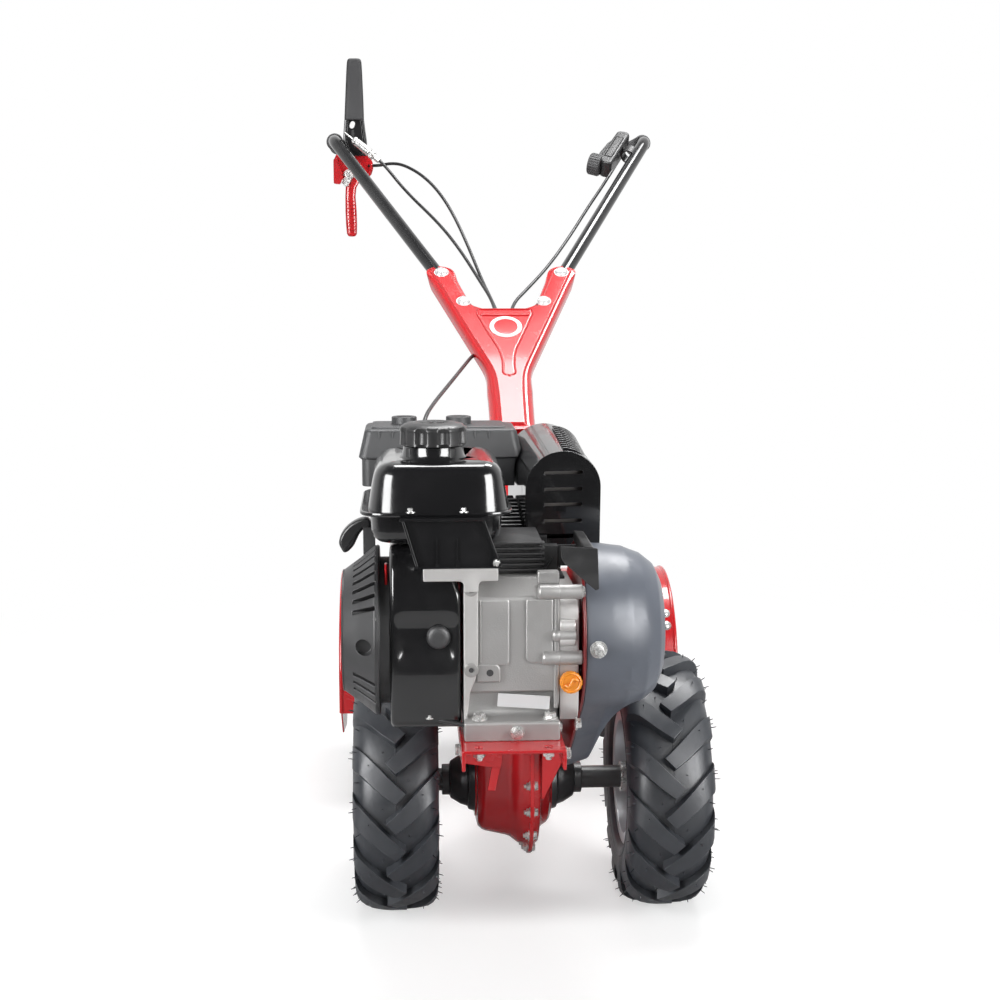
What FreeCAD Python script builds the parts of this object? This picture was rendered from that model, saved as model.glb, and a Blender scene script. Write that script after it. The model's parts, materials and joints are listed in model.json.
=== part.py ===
"""Walk-behind rotary tiller: petrol engine on a front bracket, two driven wheels, rear tine rotor.

Machine frame used while modelling: X to the machine's right as seen from its engine end,
-Y is the engine end, +Y the operator's end, +Z up, with zero on the floor under the axle.
Every piece is then moved along Y by the same amount, so that the origin is on the floor
in the middle of the whole machine.
"""
import FreeCAD, Part
import math
import os
import re

import Sketcher
from FreeCAD import Placement, Rotation, Vector

doc = FreeCAD.newDocument("GardenTiller")
sheet = doc.addObject("Spreadsheet::Sheet", "Sizes")

SIZES = {
    # wheels and axle
    "tyre_diameter": 330, "tyre_width": 107, "lug_height": 12, "tyre_bead_width": 86,
    "lugs_per_side": 14, "lug_tip_past_middle": 12.5,
    "rim_seat_diameter": 152, "rim_flange_height": 12, "rim_wall": 2.5, "rim_well_depth": 14,
    "rim_disc_offset": 8, "track_width": 342, "axle_radius": 14.5, "hub_radius": 17,
    "hub_flange_radius": 44, "hub_flange_thickness": 6, "hub_sleeve_right": 30,
    "hub_sleeve_left": 20, "running_gap": 0.3,
    # gear case and axle bells
    "case_left_depth": 68, "case_right_depth": 27, "case_radius": 84, "case_rim": 13,
    "case_rim_thickness": 2.5, "case_round": 20,
    "bell_length": 44, "bell_wide_radius": 42, "bell_mid_radius": 35, "bell_narrow_radius": 20,
    "bell_socket_depth": 26,
    # engine bracket
    "engine_base_height": 314, "bracket_thickness": 4, "bracket_front": 349,
    "bracket_left": 97, "bracket_right": 17, "bracket_rear": 70, "bracket_lip_depth": 23,
    "gusset_depth": 62, "gusset_position": 130, "front_hole_radius": 4.5,
    "front_hole_spacing": 76, "front_hole_setback": 14,
    # engine core
    "shaft_forward": 211, "shaft_height": 104, "crankcase_left": 95, "crankcase_right": 13,
    "crankcase_front": 300, "crankcase_rear": 128, "crankcase_height": 182,
    "crankcase_inset": 5, "foot_height": 22, "shelf_overhang": 42, "shelf_height": 12,
    "shelf_front": 314,
    "cover_thickness": 22, "cover_bottom": 12, "cover_height": 147, "cover_round": 26,
    "cylinder_tilt": 25, "cylinder_start": 78, "cylinder_length": 122, "barrel_width": 84,
    "fin_start": 107, "fin_reach": 12, "fin_thickness": 3, "fin_pitch": 8,
    "valve_cover_length": 26, "valve_cover_inset": 16,
    "dipstick_radius": 12.5, "drain_radius": 7.5,
    # fan side
    "shroud_left": 174, "shroud_right": 95.5, "shroud_half_depth": 88, "shroud_half_height": 96,
    "starter_outer": 226, "starter_radius": 97, "starter_mid_radius": 83,
    "starter_face_radius": 70, "starter_neck_radius": 84, "starter_neck_gap": 12,
    "pull_grip_radius": 12, "rope_guide_left": 206,
    "rope_guide_width": 14, "grip_forward": 62,
    # tank
    "tank_left": 202, "tank_right": 41, "tank_front": 292, "tank_rear": 104,
    "tank_seam_rise": 251, "tank_height": 56, "tank_taper": 17, "tank_round": 14,
    "tank_belly_depth": 36, "tank_belly_inset": 7, "tank_seam_lip": 4,
    "tank_seam_thickness": 4, "neck_radius": 34, "neck_height": 13, "cap_radius": 37.5,
    "cap_height": 26, "cap_gap_left": 124, "cap_forward": 230,
    "support_top_left": 165, "support_bottom_left": 142, "support_bottom_right": 52,
    "support_top_right": 62, "support_front": 313, "support_plate": 12, "support_depth": 70,
    # air cleaner and carburettor
    "cleaner_left": 214, "cleaner_right": 9, "cleaner_front": -46, "cleaner_rear": 62,
    "cleaner_rise": 246, "cleaner_tray_height": 36, "cleaner_lid_height": 35,
    "cleaner_taper": 8,
    "cleaner_round": 10, "knob_radius": 16, "knob_height": 12, "knob_left": 157,
    "knob_right": 88, "carburettor_width": 56, "carburettor_depth": 84,
    # muffler
    "shield_width": 91, "shield_length": 178, "shield_wall": 2, "shield_height": 118,
    "shield_tilt": 5, "shield_turn": 3, "shield_left": 13, "shield_front": 128,
    "shield_rise": 183, "shield_clearance": 1.5, "muffler_gap": 9, "muffler_pad_radius": 6,
    "stay_drop": 48,
    # belt drive
    "belt_plane_left": 42, "belt_cover_depth": 94, "engine_pulley_cover_radius": 98,
    "case_pulley_cover_radius": 84, "case_pulley_forward": 52, "case_pulley_height": 286,
    "belt_plate_thickness": 3,
    # tiller behind
    "rotor_rear": 500, "rotor_height": 195, "rotor_radius": 130, "rotor_shaft_radius": 16,
    "rotor_half_length": 206, "rotor_inner": 34, "tine_thickness": 6, "tine_width": 30,
    "tine_foot": 36, "tine_bend": 12, "tine_sweep": 16, "flange_radius": 46, "flange_thickness": 5,
    "hood_radius": 150, "hood_wall": 2.5, "hood_width": 518, "hood_skirt": 42,
    "skirt_point": 62, "housing_radius": 26, "housing_rear": 410,
    "tiller_case_radius": 56, "tiller_case_width": 50,
    "spur_rear": 676, "spur_width": 30, "spur_thickness": 10, "spur_height": 330,
    "spur_hole_radius": 5.5, "spur_hole_pitch": 30,
    "spur_foot_length": 60,
    # steering column and handlebars
    "pivot_rear": 150, "pivot_height": 332, "pivot_radius": 8, "yoke_plate": 5,
    "column_rear": 288, "column_height": 617, "column_tilt": 36.5, "column_half_width": 26,
    "column_depth": 22, "column_wall": 3, "arm_reach": 363, "arm_outer": 124, "arm_inner": 79,
    "web_reach": 258, "web_half_width": 47, "neck_reach": 88, "tail_reach": 26,
    "tube_diameter": 22, "tube_start_reach": 236, "tube_bolt_reach": 269, "tube_bolt_side": 63,
    "tube_splay": 24.2, "bend_reach": 755, "bend_radius": 60, "grip_run": 150,
    "grip_length": 118, "grip_radius": 15.5,
    "lever_bracket_setback": 21, "lever_bracket_depth": 5, "lever_bracket_width": 70,
    "lever_bracket_drop": 68, "clutch_lever_height": 145, "clutch_lever_base": 46,
    "clutch_lever_tip": 24, "clutch_lever_thickness": 9, "clutch_lever_across": 38,
    "lever_pin_radius": 4, "adjuster_radius": 7, "adjuster_length": 78,
    "reverse_lever_length": 102, "reverse_lever_width": 20, "reverse_lever_across": 28,
    "throttle_start": 6, "throttle_length": 108, "throttle_width": 27, "throttle_depth": 34,
    "throttle_round": 9, "throttle_knob_radius": 20, "throttle_knob_width": 20,
    "cable_diameter": 5.5, "cable_lead": 22,
}

for row, (alias, value) in enumerate(SIZES.items(), 1):
    sheet.set(f"A{row}", alias)
    sheet.set(f"B{row}", str(value))
    sheet.setAlias(f"B{row}", alias)
doc.recompute()

WORD = re.compile(r"[a-z_]+")
AXLE = "tyre_diameter / 2"
ORIGIN = "(bend_y + grip_run - bracket_front) / 2"
BEND_Y = "(column_rear + bend_reach * cos(column_tilt) + tube_drop * sin(column_tilt))"
TUBE_DROP = "(column_wall + running_gap + tube_diameter / 2)"
SHAFT_Y = "(0 - shaft_forward)"
SHAFT_Z = "(engine_base_height + shaft_height)"
LEVELS = {    # heights on the engine, which all rise with its bracket
    "cleaner_top": "(cleaner_seam + cleaner_lid_height)",
    "cleaner_seam": "(cleaner_bottom + cleaner_tray_height)",
    "cleaner_bottom": "(engine_base_height + cleaner_rise)",
    "tank_seam_height": "(engine_base_height + tank_seam_rise)",
}
ALONG_X = Rotation(Vector(0, 1, 0), 90)      # turns a cylinder's own Z to +X
TOWARDS_REAR = Rotation(Vector(1, 0, 0), -90)    # turns a cylinder's own Z to +Y
TOWARDS_FRONT = Rotation(Vector(1, 0, 0), 90)    # turns a cylinder's own Z to -Y
nodes = []


def spell(text):
    """Write a formula of the sheet's aliases the way the document's expressions need it."""
    text = str(text).replace("origin_y", ORIGIN).replace("bend_y", BEND_Y)
    text = text.replace("tube_drop", TUBE_DROP).replace("axle_height", "(" + AXLE + ")")
    text = text.replace("shaft_y", SHAFT_Y).replace("shaft_z", SHAFT_Z)
    for name, formula in LEVELS.items():
        text = text.replace(name, formula)
    return WORD.sub(lambda word: "Sizes." + word[0] if word[0] in SIZES else word[0], text)


def size(alias):
    """Read one size from the sheet."""
    return float(sheet.get(alias))


def bind(obj, **formulas):
    """Tie properties of an object to formulas of the sheet's aliases."""
    for prop, text in formulas.items():
        obj.setExpression(prop, spell(text))
    return obj


def place(obj, across, along, up, turn=None):
    """Put an object at a point of the machine frame, with an optional rotation."""
    obj.Placement = Placement(Vector(), turn or Rotation())
    obj.setExpression("Placement.Base.x", spell(across))
    obj.setExpression("Placement.Base.y", spell(f"({along}) - origin_y"))
    obj.setExpression("Placement.Base.z", spell(up))
    return obj


def node(obj, label):
    """Name a finished sub-part and keep it for the export."""
    obj.Label = label
    nodes.append(obj)
    return obj


def block(name, across, along, up):
    """A box between (low, high) formulas of the machine frame."""
    obj = doc.addObject("Part::Box", name)
    for prop, (low, high) in zip(("Length", "Width", "Height"), (across, along, up)):
        obj.setExpression(prop, spell(f"({high}) - ({low})"))
    return place(obj, across[0], along[0], up[0])


def frustum(name, across, along, up, inset_across, inset_along):
    """A box whose top is drawn in on all four sides."""
    obj = doc.addObject("Part::Wedge", name)
    bind(obj, Xmin=0, Xmax=f"({across[1]}) - ({across[0]})", Zmin=0,
         Zmax=f"({along[1]}) - ({along[0]})", Ymin=0, Ymax=f"({up[1]}) - ({up[0]})",
         X2min=inset_across, X2max=f"({across[1]}) - ({across[0]}) - ({inset_across})",
         Z2min=inset_along, Z2max=f"({along[1]}) - ({along[0]}) - ({inset_along})")
    return place(obj, across[0], along[1], up[0], TOWARDS_FRONT)


def rod(name, radius, length, across, along, up, turn=None):
    """A cylinder that starts at a point and runs along its turned axis."""
    obj = doc.addObject("Part::Cylinder", name)
    bind(obj, Radius=radius, Height=length)
    return place(obj, across, along, up, turn)


def fuse(name, pieces):
    """Join pieces into one solid."""
    obj = doc.addObject("Part::MultiFuse", name)
    obj.Shapes = pieces
    obj.Refine = True
    return obj


def cut(name, base, tool):
    """Take one object out of another."""
    obj = doc.addObject("Part::Cut", name)
    obj.Base = base
    obj.Tool = tool
    obj.Refine = True
    return obj


def rounded(name, base, radius, pick):
    """Fillet the edges that a test picks, at one radius."""
    doc.recompute()
    obj = doc.addObject("Part::Fillet", name)
    obj.Base = base
    picked = [i for i, edge in enumerate(base.Shape.Edges, 1) if pick(edge)]
    obj.Edges = [(i, radius, radius) for i in picked]
    return obj


def upright(edge):
    """True for an edge that rises more than it runs."""
    start, end = edge.Vertexes[0].Point, edge.Vertexes[-1].Point
    return abs(end.z - start.z) > 1.5 * math.hypot(end.x - start.x, end.y - start.y)


def top_edges(obj):
    """A test for the edges that lie in an object's top plane."""
    doc.recompute()
    top = max(vertex.Z for vertex in obj.Shape.Vertexes)
    return lambda edge: min(vertex.Z for vertex in edge.Vertexes) > top - 0.5


def body(name, across, along, up, turn=None):
    """A PartDesign body placed at a point of the machine frame."""
    return place(doc.addObject("PartDesign::Body", name), across, along, up, turn)


def sketch(owner, role, corners, lift=None):
    """A fully constrained closed sketch of straight lines; corners are formula pairs."""
    plane = next(f for f in owner.Origin.OriginFeatures if f.Role == role)
    drawing = owner.newObject("Sketcher::SketchObject", owner.Name + "_outline")
    drawing.AttachmentSupport = [(plane, "")]
    drawing.MapMode = "FlatFace"
    if lift is not None:
        drawing.setExpression("AttachmentOffset.Base.z", spell(lift))
    count = len(corners)
    spread = [Vector(math.cos(2 * math.pi * i / count), math.sin(2 * math.pi * i / count), 0)
              for i in range(count)]
    for i in range(count):
        drawing.addGeometry(Part.LineSegment(spread[i] * 100, spread[(i + 1) % count] * 100))
    for i in range(count):
        drawing.addConstraint(Sketcher.Constraint("Coincident", i, 2, (i + 1) % count, 1))
    for i, corner in enumerate(corners):
        for kind, text in zip(("DistanceX", "DistanceY"), corner):
            which = drawing.addConstraint(Sketcher.Constraint(kind, -1, 1, i, 1, 1.0))
            drawing.setExpression(f"Constraints[{which}]", spell(text))
    return drawing


def circle_sketch(owner, role, radius, across="0", up="0"):
    """A constrained circle."""
    plane = next(f for f in owner.Origin.OriginFeatures if f.Role == role)
    drawing = owner.newObject("Sketcher::SketchObject", owner.Name + "_round")
    drawing.AttachmentSupport = [(plane, "")]
    drawing.MapMode = "FlatFace"
    drawing.addGeometry(Part.Circle(Vector(1, 1, 0), Vector(0, 0, 1), 10))
    for kind, first, text in (("DistanceX", 1, across), ("DistanceY", 1, up)):
        which = drawing.addConstraint(Sketcher.Constraint(kind, -1, first, 0, 3, 1.0))
        drawing.setExpression(f"Constraints[{which}]", spell(text))
    which = drawing.addConstraint(Sketcher.Constraint("Radius", 0, 10.0))
    drawing.setExpression(f"Constraints[{which}]", spell(radius))
    return drawing


def pad(owner, drawing, length, reverse=False, centred=False):
    """Thicken a sketch into the body."""
    feature = owner.newObject("PartDesign::Pad", owner.Name + "_pad")
    feature.Profile = drawing
    feature.setExpression("Length", spell(length))
    feature.Reversed = reverse
    feature.Midplane = centred
    return feature


def turned(name, corners, across, along, up, turn=None):
    """A turned piece: corners are (along its axis, radius); its axis is the body's own X."""
    owner = body(name + "_body", across, along, up, turn)
    drawing = sketch(owner, "XY_Plane", corners)
    feature = owner.newObject("PartDesign::Revolution", owner.Name + "_turned")
    feature.Profile = drawing
    feature.ReferenceAxis = (drawing, ["H_Axis"])
    feature.Angle = 360
    return owner


def turned_node(label, corners, across, along, up, turn=None):
    """A turned piece that is a sub-part by itself."""
    return node(turned(label, corners, across, along, up, turn), label)


def feature(label, shape, where=Placement()):
    """A sub-part whose shape is built with Part's own functions, then put in the machine frame."""
    obj = doc.addObject("Part::Feature", label + "_shape")
    obj.Shape = shape
    obj.Placement = Placement(Vector(0, -origin_shift(), 0), Rotation()).multiply(where)
    return node(obj, label)


def bend_y():
    """Where the handlebars' bends lie along Y."""
    tilt = math.radians(size("column_tilt"))
    drop = size("column_wall") + size("running_gap") + size("tube_diameter") / 2
    return size("column_rear") + size("bend_reach") * math.cos(tilt) + drop * math.sin(tilt)


def origin_shift():
    """How far the middle of the machine lies behind the axle."""
    return (bend_y() + size("grip_run") - size("bracket_front")) / 2


# ---------------------------------------------------------------- wheels

def facet_ring(x, radius, count):
    """The corners of a regular ring about the wheel's axis."""
    turns = [2 * math.pi * i / count for i in range(count)]
    return [Vector(x, radius * math.cos(turn), radius * math.sin(turn)) for turn in turns]


def skinned(faces):
    """A solid from its flat faces."""
    return Part.makeSolid(Part.makeShell(
        [Part.Face(Part.makePolygon(face + face[:1])) for face in faces]))


def make_carcass():
    """The tyre under its lugs, in flat facets, three to the pitch of the lugs."""
    count = 3 * int(size("lugs_per_side"))
    true = 1 / math.cos(math.pi / count)    # keeps the facets outside the rim's round seat
    half, bead = size("tyre_width") / 2, size("tyre_bead_width") / 2
    seat = size("rim_seat_diameter") / 2 * true
    edge = seat + size("rim_flange_height") * true
    crown = size("tyre_diameter") / 2 - size("lug_height")
    profile = [(bead, seat), (bead, edge), (half - 2, edge + 9), (half, edge + 24),
               (half - 2.5, crown - 22), (half - 10, crown - 8), (half * 0.48, crown)]
    profile += [(-x, radius) for x, radius in reversed(profile)]
    rings = [facet_ring(x, radius, count) for x, radius in profile]
    faces = []
    for low, high in zip(rings, rings[1:] + rings[:1]):
        for i in range(count):
            j = (i + 1) % count
            faces.append([low[i], low[j], high[j], high[i]])
    return skinned(faces)


def make_lug(sign, turn):
    """One tread lug: a band that starts past the middle and climbs over the shoulder."""
    half, crown = size("tyre_width") / 2, size("tyre_diameter") / 2
    foot = crown - size("lug_height") - 6
    past = size("lug_tip_past_middle")
    # its two edges, each as (across from the middle, angle round the tyre), tip first
    lower = ((0, -4.4), (-0.32 * half, -0.3), (-0.65 * half, 5.4), (1.5 - half, 11.6))
    upper = ((past, 0), (-0.18 * half, 6.6), (-0.58 * half, 14.8), (1.5 - half, 22.4))
    drops = (0, 0.4, 4.5, 19)    # how far its top and its foot fall below the crown's
    feet = (0, 0, 9, 29)

    def spot(edge, station, radius):
        """A corner of the lug."""
        across, angle = edge[station]
        angle = math.radians(turn + angle)
        return Vector(-sign * across, -radius * math.cos(angle), radius * math.sin(angle))

    stations = range(len(drops))
    tops = [(spot(lower, i, crown - drops[i]), spot(upper, i, crown - drops[i])) for i in stations]
    bases = [(spot(lower, i, foot - feet[i]), spot(upper, i, foot - feet[i])) for i in stations]
    quads = []
    for i in stations[1:]:
        quads += [(tops[i - 1][0], tops[i - 1][1], tops[i][1], tops[i][0]),
                  (bases[i][0], bases[i][1], bases[i - 1][1], bases[i - 1][0]),
                  (bases[i - 1][0], tops[i - 1][0], tops[i][0], bases[i][0]),
                  (tops[i - 1][1], bases[i - 1][1], bases[i][1], tops[i][1])]
    quads += [(bases[0][0], bases[0][1], tops[0][1], tops[0][0]),
              (tops[-1][0], tops[-1][1], bases[-1][1], bases[-1][0])]
    faces = [list(half_quad) for a, b, c, d in quads for half_quad in ((a, b, c), (a, c, d))]
    return skinned(faces)


def make_tyre():
    """Carcass and both rows of lugs, the right row half a pitch behind the left one."""
    count = int(size("lugs_per_side"))
    pitch = 360 / count
    lugs = [make_lug(sign, (i + (0.5 if sign < 0 else 0)) * pitch)
            for sign in (-1, 1) for i in range(count)]
    lugs = [lug if lug.Volume > 0 else lug.reversed() for lug in lugs]
    return make_carcass().multiFuse(lugs)


def build_wheel(side, sign, tyre):
    """Tyre, dished rim and hub of one wheel; sign is -1 on the left and 1 on the right."""
    bead, seat = "tyre_bead_width / 2", "rim_seat_diameter / 2"
    centre = f"({sign}) * track_width / 2"
    middle = Vector(sign * size("track_width") / 2, 0, size("tyre_diameter") / 2)
    feature(f"{side}_tyre", tyre, Placement(middle, Rotation()))
    low = f"{seat} - rim_well_depth"
    barrel = [(f"0 - {bead} - rim_wall", f"{seat} + rim_flange_height"),
              (f"0 - {bead} - rim_wall", f"{seat} - rim_wall"),
              ("-29", f"{seat} - rim_wall"), ("-23", f"{low} - rim_wall"),
              (f"({sign}) * rim_disc_offset - rim_wall", f"{low} - rim_wall"),
              (f"({sign}) * rim_disc_offset - rim_wall", "axle_radius"),
              (f"({sign}) * rim_disc_offset + rim_wall", "axle_radius"),
              (f"({sign}) * rim_disc_offset + rim_wall", f"{low} - rim_wall"),
              ("23", f"{low} - rim_wall"), ("29", f"{seat} - rim_wall"),
              (f"{bead} + rim_wall", f"{seat} - rim_wall"),
              (f"{bead} + rim_wall", f"{seat} + rim_flange_height"),
              (bead, f"{seat} + rim_flange_height"), (bead, seat), ("26", seat), ("20", low),
              ("-20", low), ("-26", seat), (f"0 - {bead}", seat),
              (f"0 - {bead}", f"{seat} + rim_flange_height")]
    turned_node(f"{side}_rim", barrel, centre, "0", "axle_height")
    inner = "case_left_depth" if sign < 0 else "case_right_depth"
    # the hub's own X runs outwards from the bell's end face, with zero in the centre plane
    end = f"{inner} + bell_length"
    disc = "track_width / 2 + rim_disc_offset - rim_wall"
    sleeve = f"{disc} - hub_flange_thickness - hub_sleeve_{side}"
    hub = [(f"{end} - bell_socket_depth + 1", "0"),
           (f"{end} - bell_socket_depth + 1", "axle_radius"), (sleeve, "axle_radius"),
           (sleeve, "hub_radius"), (f"{disc} - hub_flange_thickness", "hub_radius"),
           (f"{disc} - hub_flange_thickness", "hub_flange_radius"), (disc, "hub_flange_radius"),
           (disc, "axle_radius"), (f"{disc} + 22", "axle_radius"), (f"{disc} + 22", "0")]
    turn = Rotation(Vector(0, 0, 1), 180) if sign < 0 else None
    turned_node(f"{side}_hub", hub, "0", "0", "axle_height", turn)


# ---------------------------------------------------------------- gear case

def build_gear_case():
    """Two pressed shells that meet on a bolted rim, with an axle bell on each."""
    top = "engine_base_height - bracket_thickness - axle_height"
    for side, sign in (("left", -1), ("right", 1)):
        owner = body(f"case_{side}", "0", "0", "axle_height")
        depth = f"case_{side}_depth"
        back = sign < 0
        pad(owner, circle_sketch(owner, "YZ_Plane", "case_radius"), depth, back)
        neck = [("0 - case_radius", "0"), ("0 - case_radius", top), ("case_radius", top),
                ("case_radius", "0")]
        pad(owner, sketch(owner, "YZ_Plane", neck), depth, back)
        doc.recompute()
        outer = sign * size(depth)
        block_tip = owner.Tip
        picked = [i for i, edge in enumerate(block_tip.Shape.Edges, 1)
                  if all(abs(vertex.X - outer) < 0.01 for vertex in edge.Vertexes)
                  and min(vertex.Z for vertex in edge.Vertexes) < 1]
        pressed = owner.newObject("PartDesign::Fillet", owner.Name + "_pressed")
        pressed.Base = (block_tip, [f"Edge{i}" for i in picked])
        pressed.Radius = min(size("case_round"), size(depth) * 0.6)
        pad(owner, circle_sketch(owner, "YZ_Plane", "case_radius + case_rim"),
            "case_rim_thickness", back)
        reach = "(case_radius + case_rim)"
        rim = [(f"0 - {reach}", "0"), (f"0 - {reach}", f"{top} - 8"), (reach, f"{top} - 8"),
               (reach, "0")]
        pad(owner, sketch(owner, "YZ_Plane", rim), "case_rim_thickness", back)
        node(owner, f"gear_case_{side}")
        bell = [("0", "axle_radius + running_gap"), ("0", "bell_wide_radius"),
                ("10", "bell_wide_radius - 3"), ("11", "bell_mid_radius"),
                ("20", "bell_mid_radius - 3"), ("33", "bell_narrow_radius + 4"),
                ("34", "bell_narrow_radius"), ("bell_length", "bell_narrow_radius"),
                ("bell_length", "axle_radius + running_gap")]
        turn = Rotation(Vector(0, 0, 1), 180) if sign < 0 else None
        turned_node(f"axle_bell_{side}", bell, f"({sign}) * {depth}", "0", "axle_height", turn)


def build_engine_bracket():
    """Folded plate that carries the engine, with side lips, a cross gusset and front holes."""
    base, plate = "engine_base_height", "bracket_thickness"
    front, rear = "0 - bracket_front", "bracket_rear"
    left, right = "0 - bracket_left", "bracket_right"
    deck = block("deck", (left, right), (front, rear), (f"{base} - {plate}", base))
    lip_rear = "0 - case_radius - case_rim - 2"
    lips = [block("lip_left", (left, f"{left} + {plate}"), (front, lip_rear),
                  (f"{base} - bracket_lip_depth", base)),
            block("lip_right", (f"{right} - {plate}", right), (front, lip_rear),
                  (f"{base} - bracket_lip_depth", base))]
    owner = body("gusset", "0", "0 - gusset_position", base)
    low = "0 - gusset_depth"
    corners = [(left, "-1"), (left, "0 - bracket_lip_depth"), (f"{left} + 34", "-28"),
               (f"{left} + 26", low), (f"{right} - 22", f"{low} - 14"),
               (right, "0 - bracket_lip_depth"), (right, "-1")]
    pad(owner, sketch(owner, "XZ_Plane", corners), plate)
    whole = fuse("bracket_whole", [deck] + lips + [owner])
    middle = "(bracket_right - bracket_left) / 2"
    holes = [rod(f"front_hole_{i}", "front_hole_radius", "3 * bracket_thickness",
                 f"{middle} + ({sign}) * front_hole_spacing / 2",
                 f"{front} + front_hole_setback", f"{base} - 2 * {plate}")
             for i, sign in enumerate((-1, 1))]
    node(cut("bracket_drilled", whole, fuse("front_holes", holes)), "engine_bracket")


# ---------------------------------------------------------------- engine

def build_crankcase():
    """Cast block with a foot, side ribs and the shelf that carries the tank."""
    base = "engine_base_height"
    left, right = "0 - crankcase_left", "crankcase_right"
    front, rear = "0 - crankcase_front", "0 - crankcase_rear"
    inset = "crankcase_inset"
    core = block("core", (f"{left} + {inset}", right), (f"{front} + 2 * {inset}", rear),
                 (f"{base} + foot_height / 2", f"{base} + crankcase_height"))
    foot = block("foot", (left, right), (front, rear), (base, f"{base} + foot_height"))
    shelf = block("shelf", (f"{left} - shelf_overhang", f"{right} - 70"),
                  ("0 - shelf_front", f"{front} + 0.5"),
                  (f"{base} + crankcase_height", f"{base} + crankcase_height + shelf_height"))
    stem = block("stem", (f"{left} + {inset}", f"{right} - 70"),
                 ("0 - shelf_front", f"{front} + 60"),
                 (f"{base} + crankcase_height - 30", f"{base} + crankcase_height + shelf_height"))
    ribs = [block(f"rib_{i}", (left, f"{left} + {inset} + 1"), (front, f"{front} + 30"),
                  (f"{base} + {low}", f"{base} + {high}"))
            for i, (low, high) in enumerate(((20, 66), (78, 90), (160, 176)))]
    bolts = ((36, 163), (22, 126), (32, 110))    # lengths and heights of the front's bolt bosses
    stubs = [rod(f"case_boss_{i}", "7", f"{long} - 14", f"{right} + 14 - {long}", f"{front} + 4",
                 f"{base} + {up}", ALONG_X) for i, (long, up) in enumerate(bolts)]
    case = node(fuse("crankcase_whole", [core, foot, shelf, stem] + ribs + stubs), "crankcase")

    low = f"{base} + cover_bottom"
    lid = block("lid", (right, f"{right} + cover_thickness"), (f"{front} + 4", f"{rear} - 4"),
                (low, f"{low} + cover_height"))
    lid = rounded("lid_round", lid, size("cover_round"), along_x)
    reach = "belt_plane_left - belt_plate_thickness - crankcase_right"
    bosses = [rod(f"cover_boss_{i}", "9", reach, right, f"shaft_y + ({y})", f"shaft_z + ({z})",
                  ALONG_X)
              for i, (y, z) in enumerate(((-50, -46), (50, -46), (-50, 36), (50, 36)))]
    bosses += [rod(f"cover_stub_{i}", "7", "18", right, f"{front} + 4", f"{base} + {up}", ALONG_X)
               for i, (long, up) in enumerate(bolts[1:])]
    snout = rod("cover_snout", "34", f"{reach} - 1", right, "shaft_y", "shaft_z", ALONG_X)
    node(fuse("cover_whole", [lid, snout] + bosses), "crankcase_cover")
    return case


def along_x(edge):
    """True for a straight edge that runs along X."""
    span = edge.BoundBox
    return span.XLength > 1 and span.YLength < 0.01 and span.ZLength < 0.01


def build_cylinder(crankcase_room):
    """Finned barrel and head that lean back from the crankshaft, with a rocker cover."""
    lean = Rotation(Vector(1, 0, 0), size("cylinder_tilt"))
    middle = "(crankcase_right - crankcase_left) / 2"
    half = "barrel_width / 2"

    def plate(name, reach, start, length):
        """A square slab across the cylinder's axis."""
        owner = body(name, middle, "shaft_y", "shaft_z", lean)
        low = f"0 - ({reach})"
        corners = [(low, low), (reach, low), (reach, reach), (low, reach)]
        drawing = sketch(owner, "XZ_Plane", corners, f"0 - ({start})")
        pad(owner, drawing, length, True)
        return owner

    pieces = [plate("barrel", half, "cylinder_start", "cylinder_length")]
    finned = size("cylinder_start") + size("cylinder_length") - size("fin_start")
    for i in range(int(finned / size("fin_pitch"))):
        pieces.append(plate(f"fin_{i}", f"{half} + fin_reach",
                            f"fin_start + {i} * fin_pitch", "fin_thickness"))
    fitted = cut("cylinder_on_case", fuse("cylinder_whole", pieces), crankcase_room)
    node(cut("cylinder_fitted", fitted, shield_room("cylinder_relief")), "finned_cylinder")
    cap = plate("rocker_cover", f"{half} + fin_reach - valve_cover_inset",
                "cylinder_start + cylinder_length", "valve_cover_length")
    doc.recompute()
    slab = cap.Tip
    end = max(vertex.Y for vertex in slab.Shape.Vertexes)
    picked = [i for i, edge in enumerate(slab.Shape.Edges, 1)
              if min(vertex.Y for vertex in edge.Vertexes) > end - 0.01]
    rim = cap.newObject("PartDesign::Fillet", "rocker_cover_round")
    rim.Base = (slab, [f"Edge{i}" for i in picked])
    rim.Radius = 8
    node(cut("rocker_cover_fitted", cap, shield_room("cover_relief")), "valve_cover")


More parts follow.
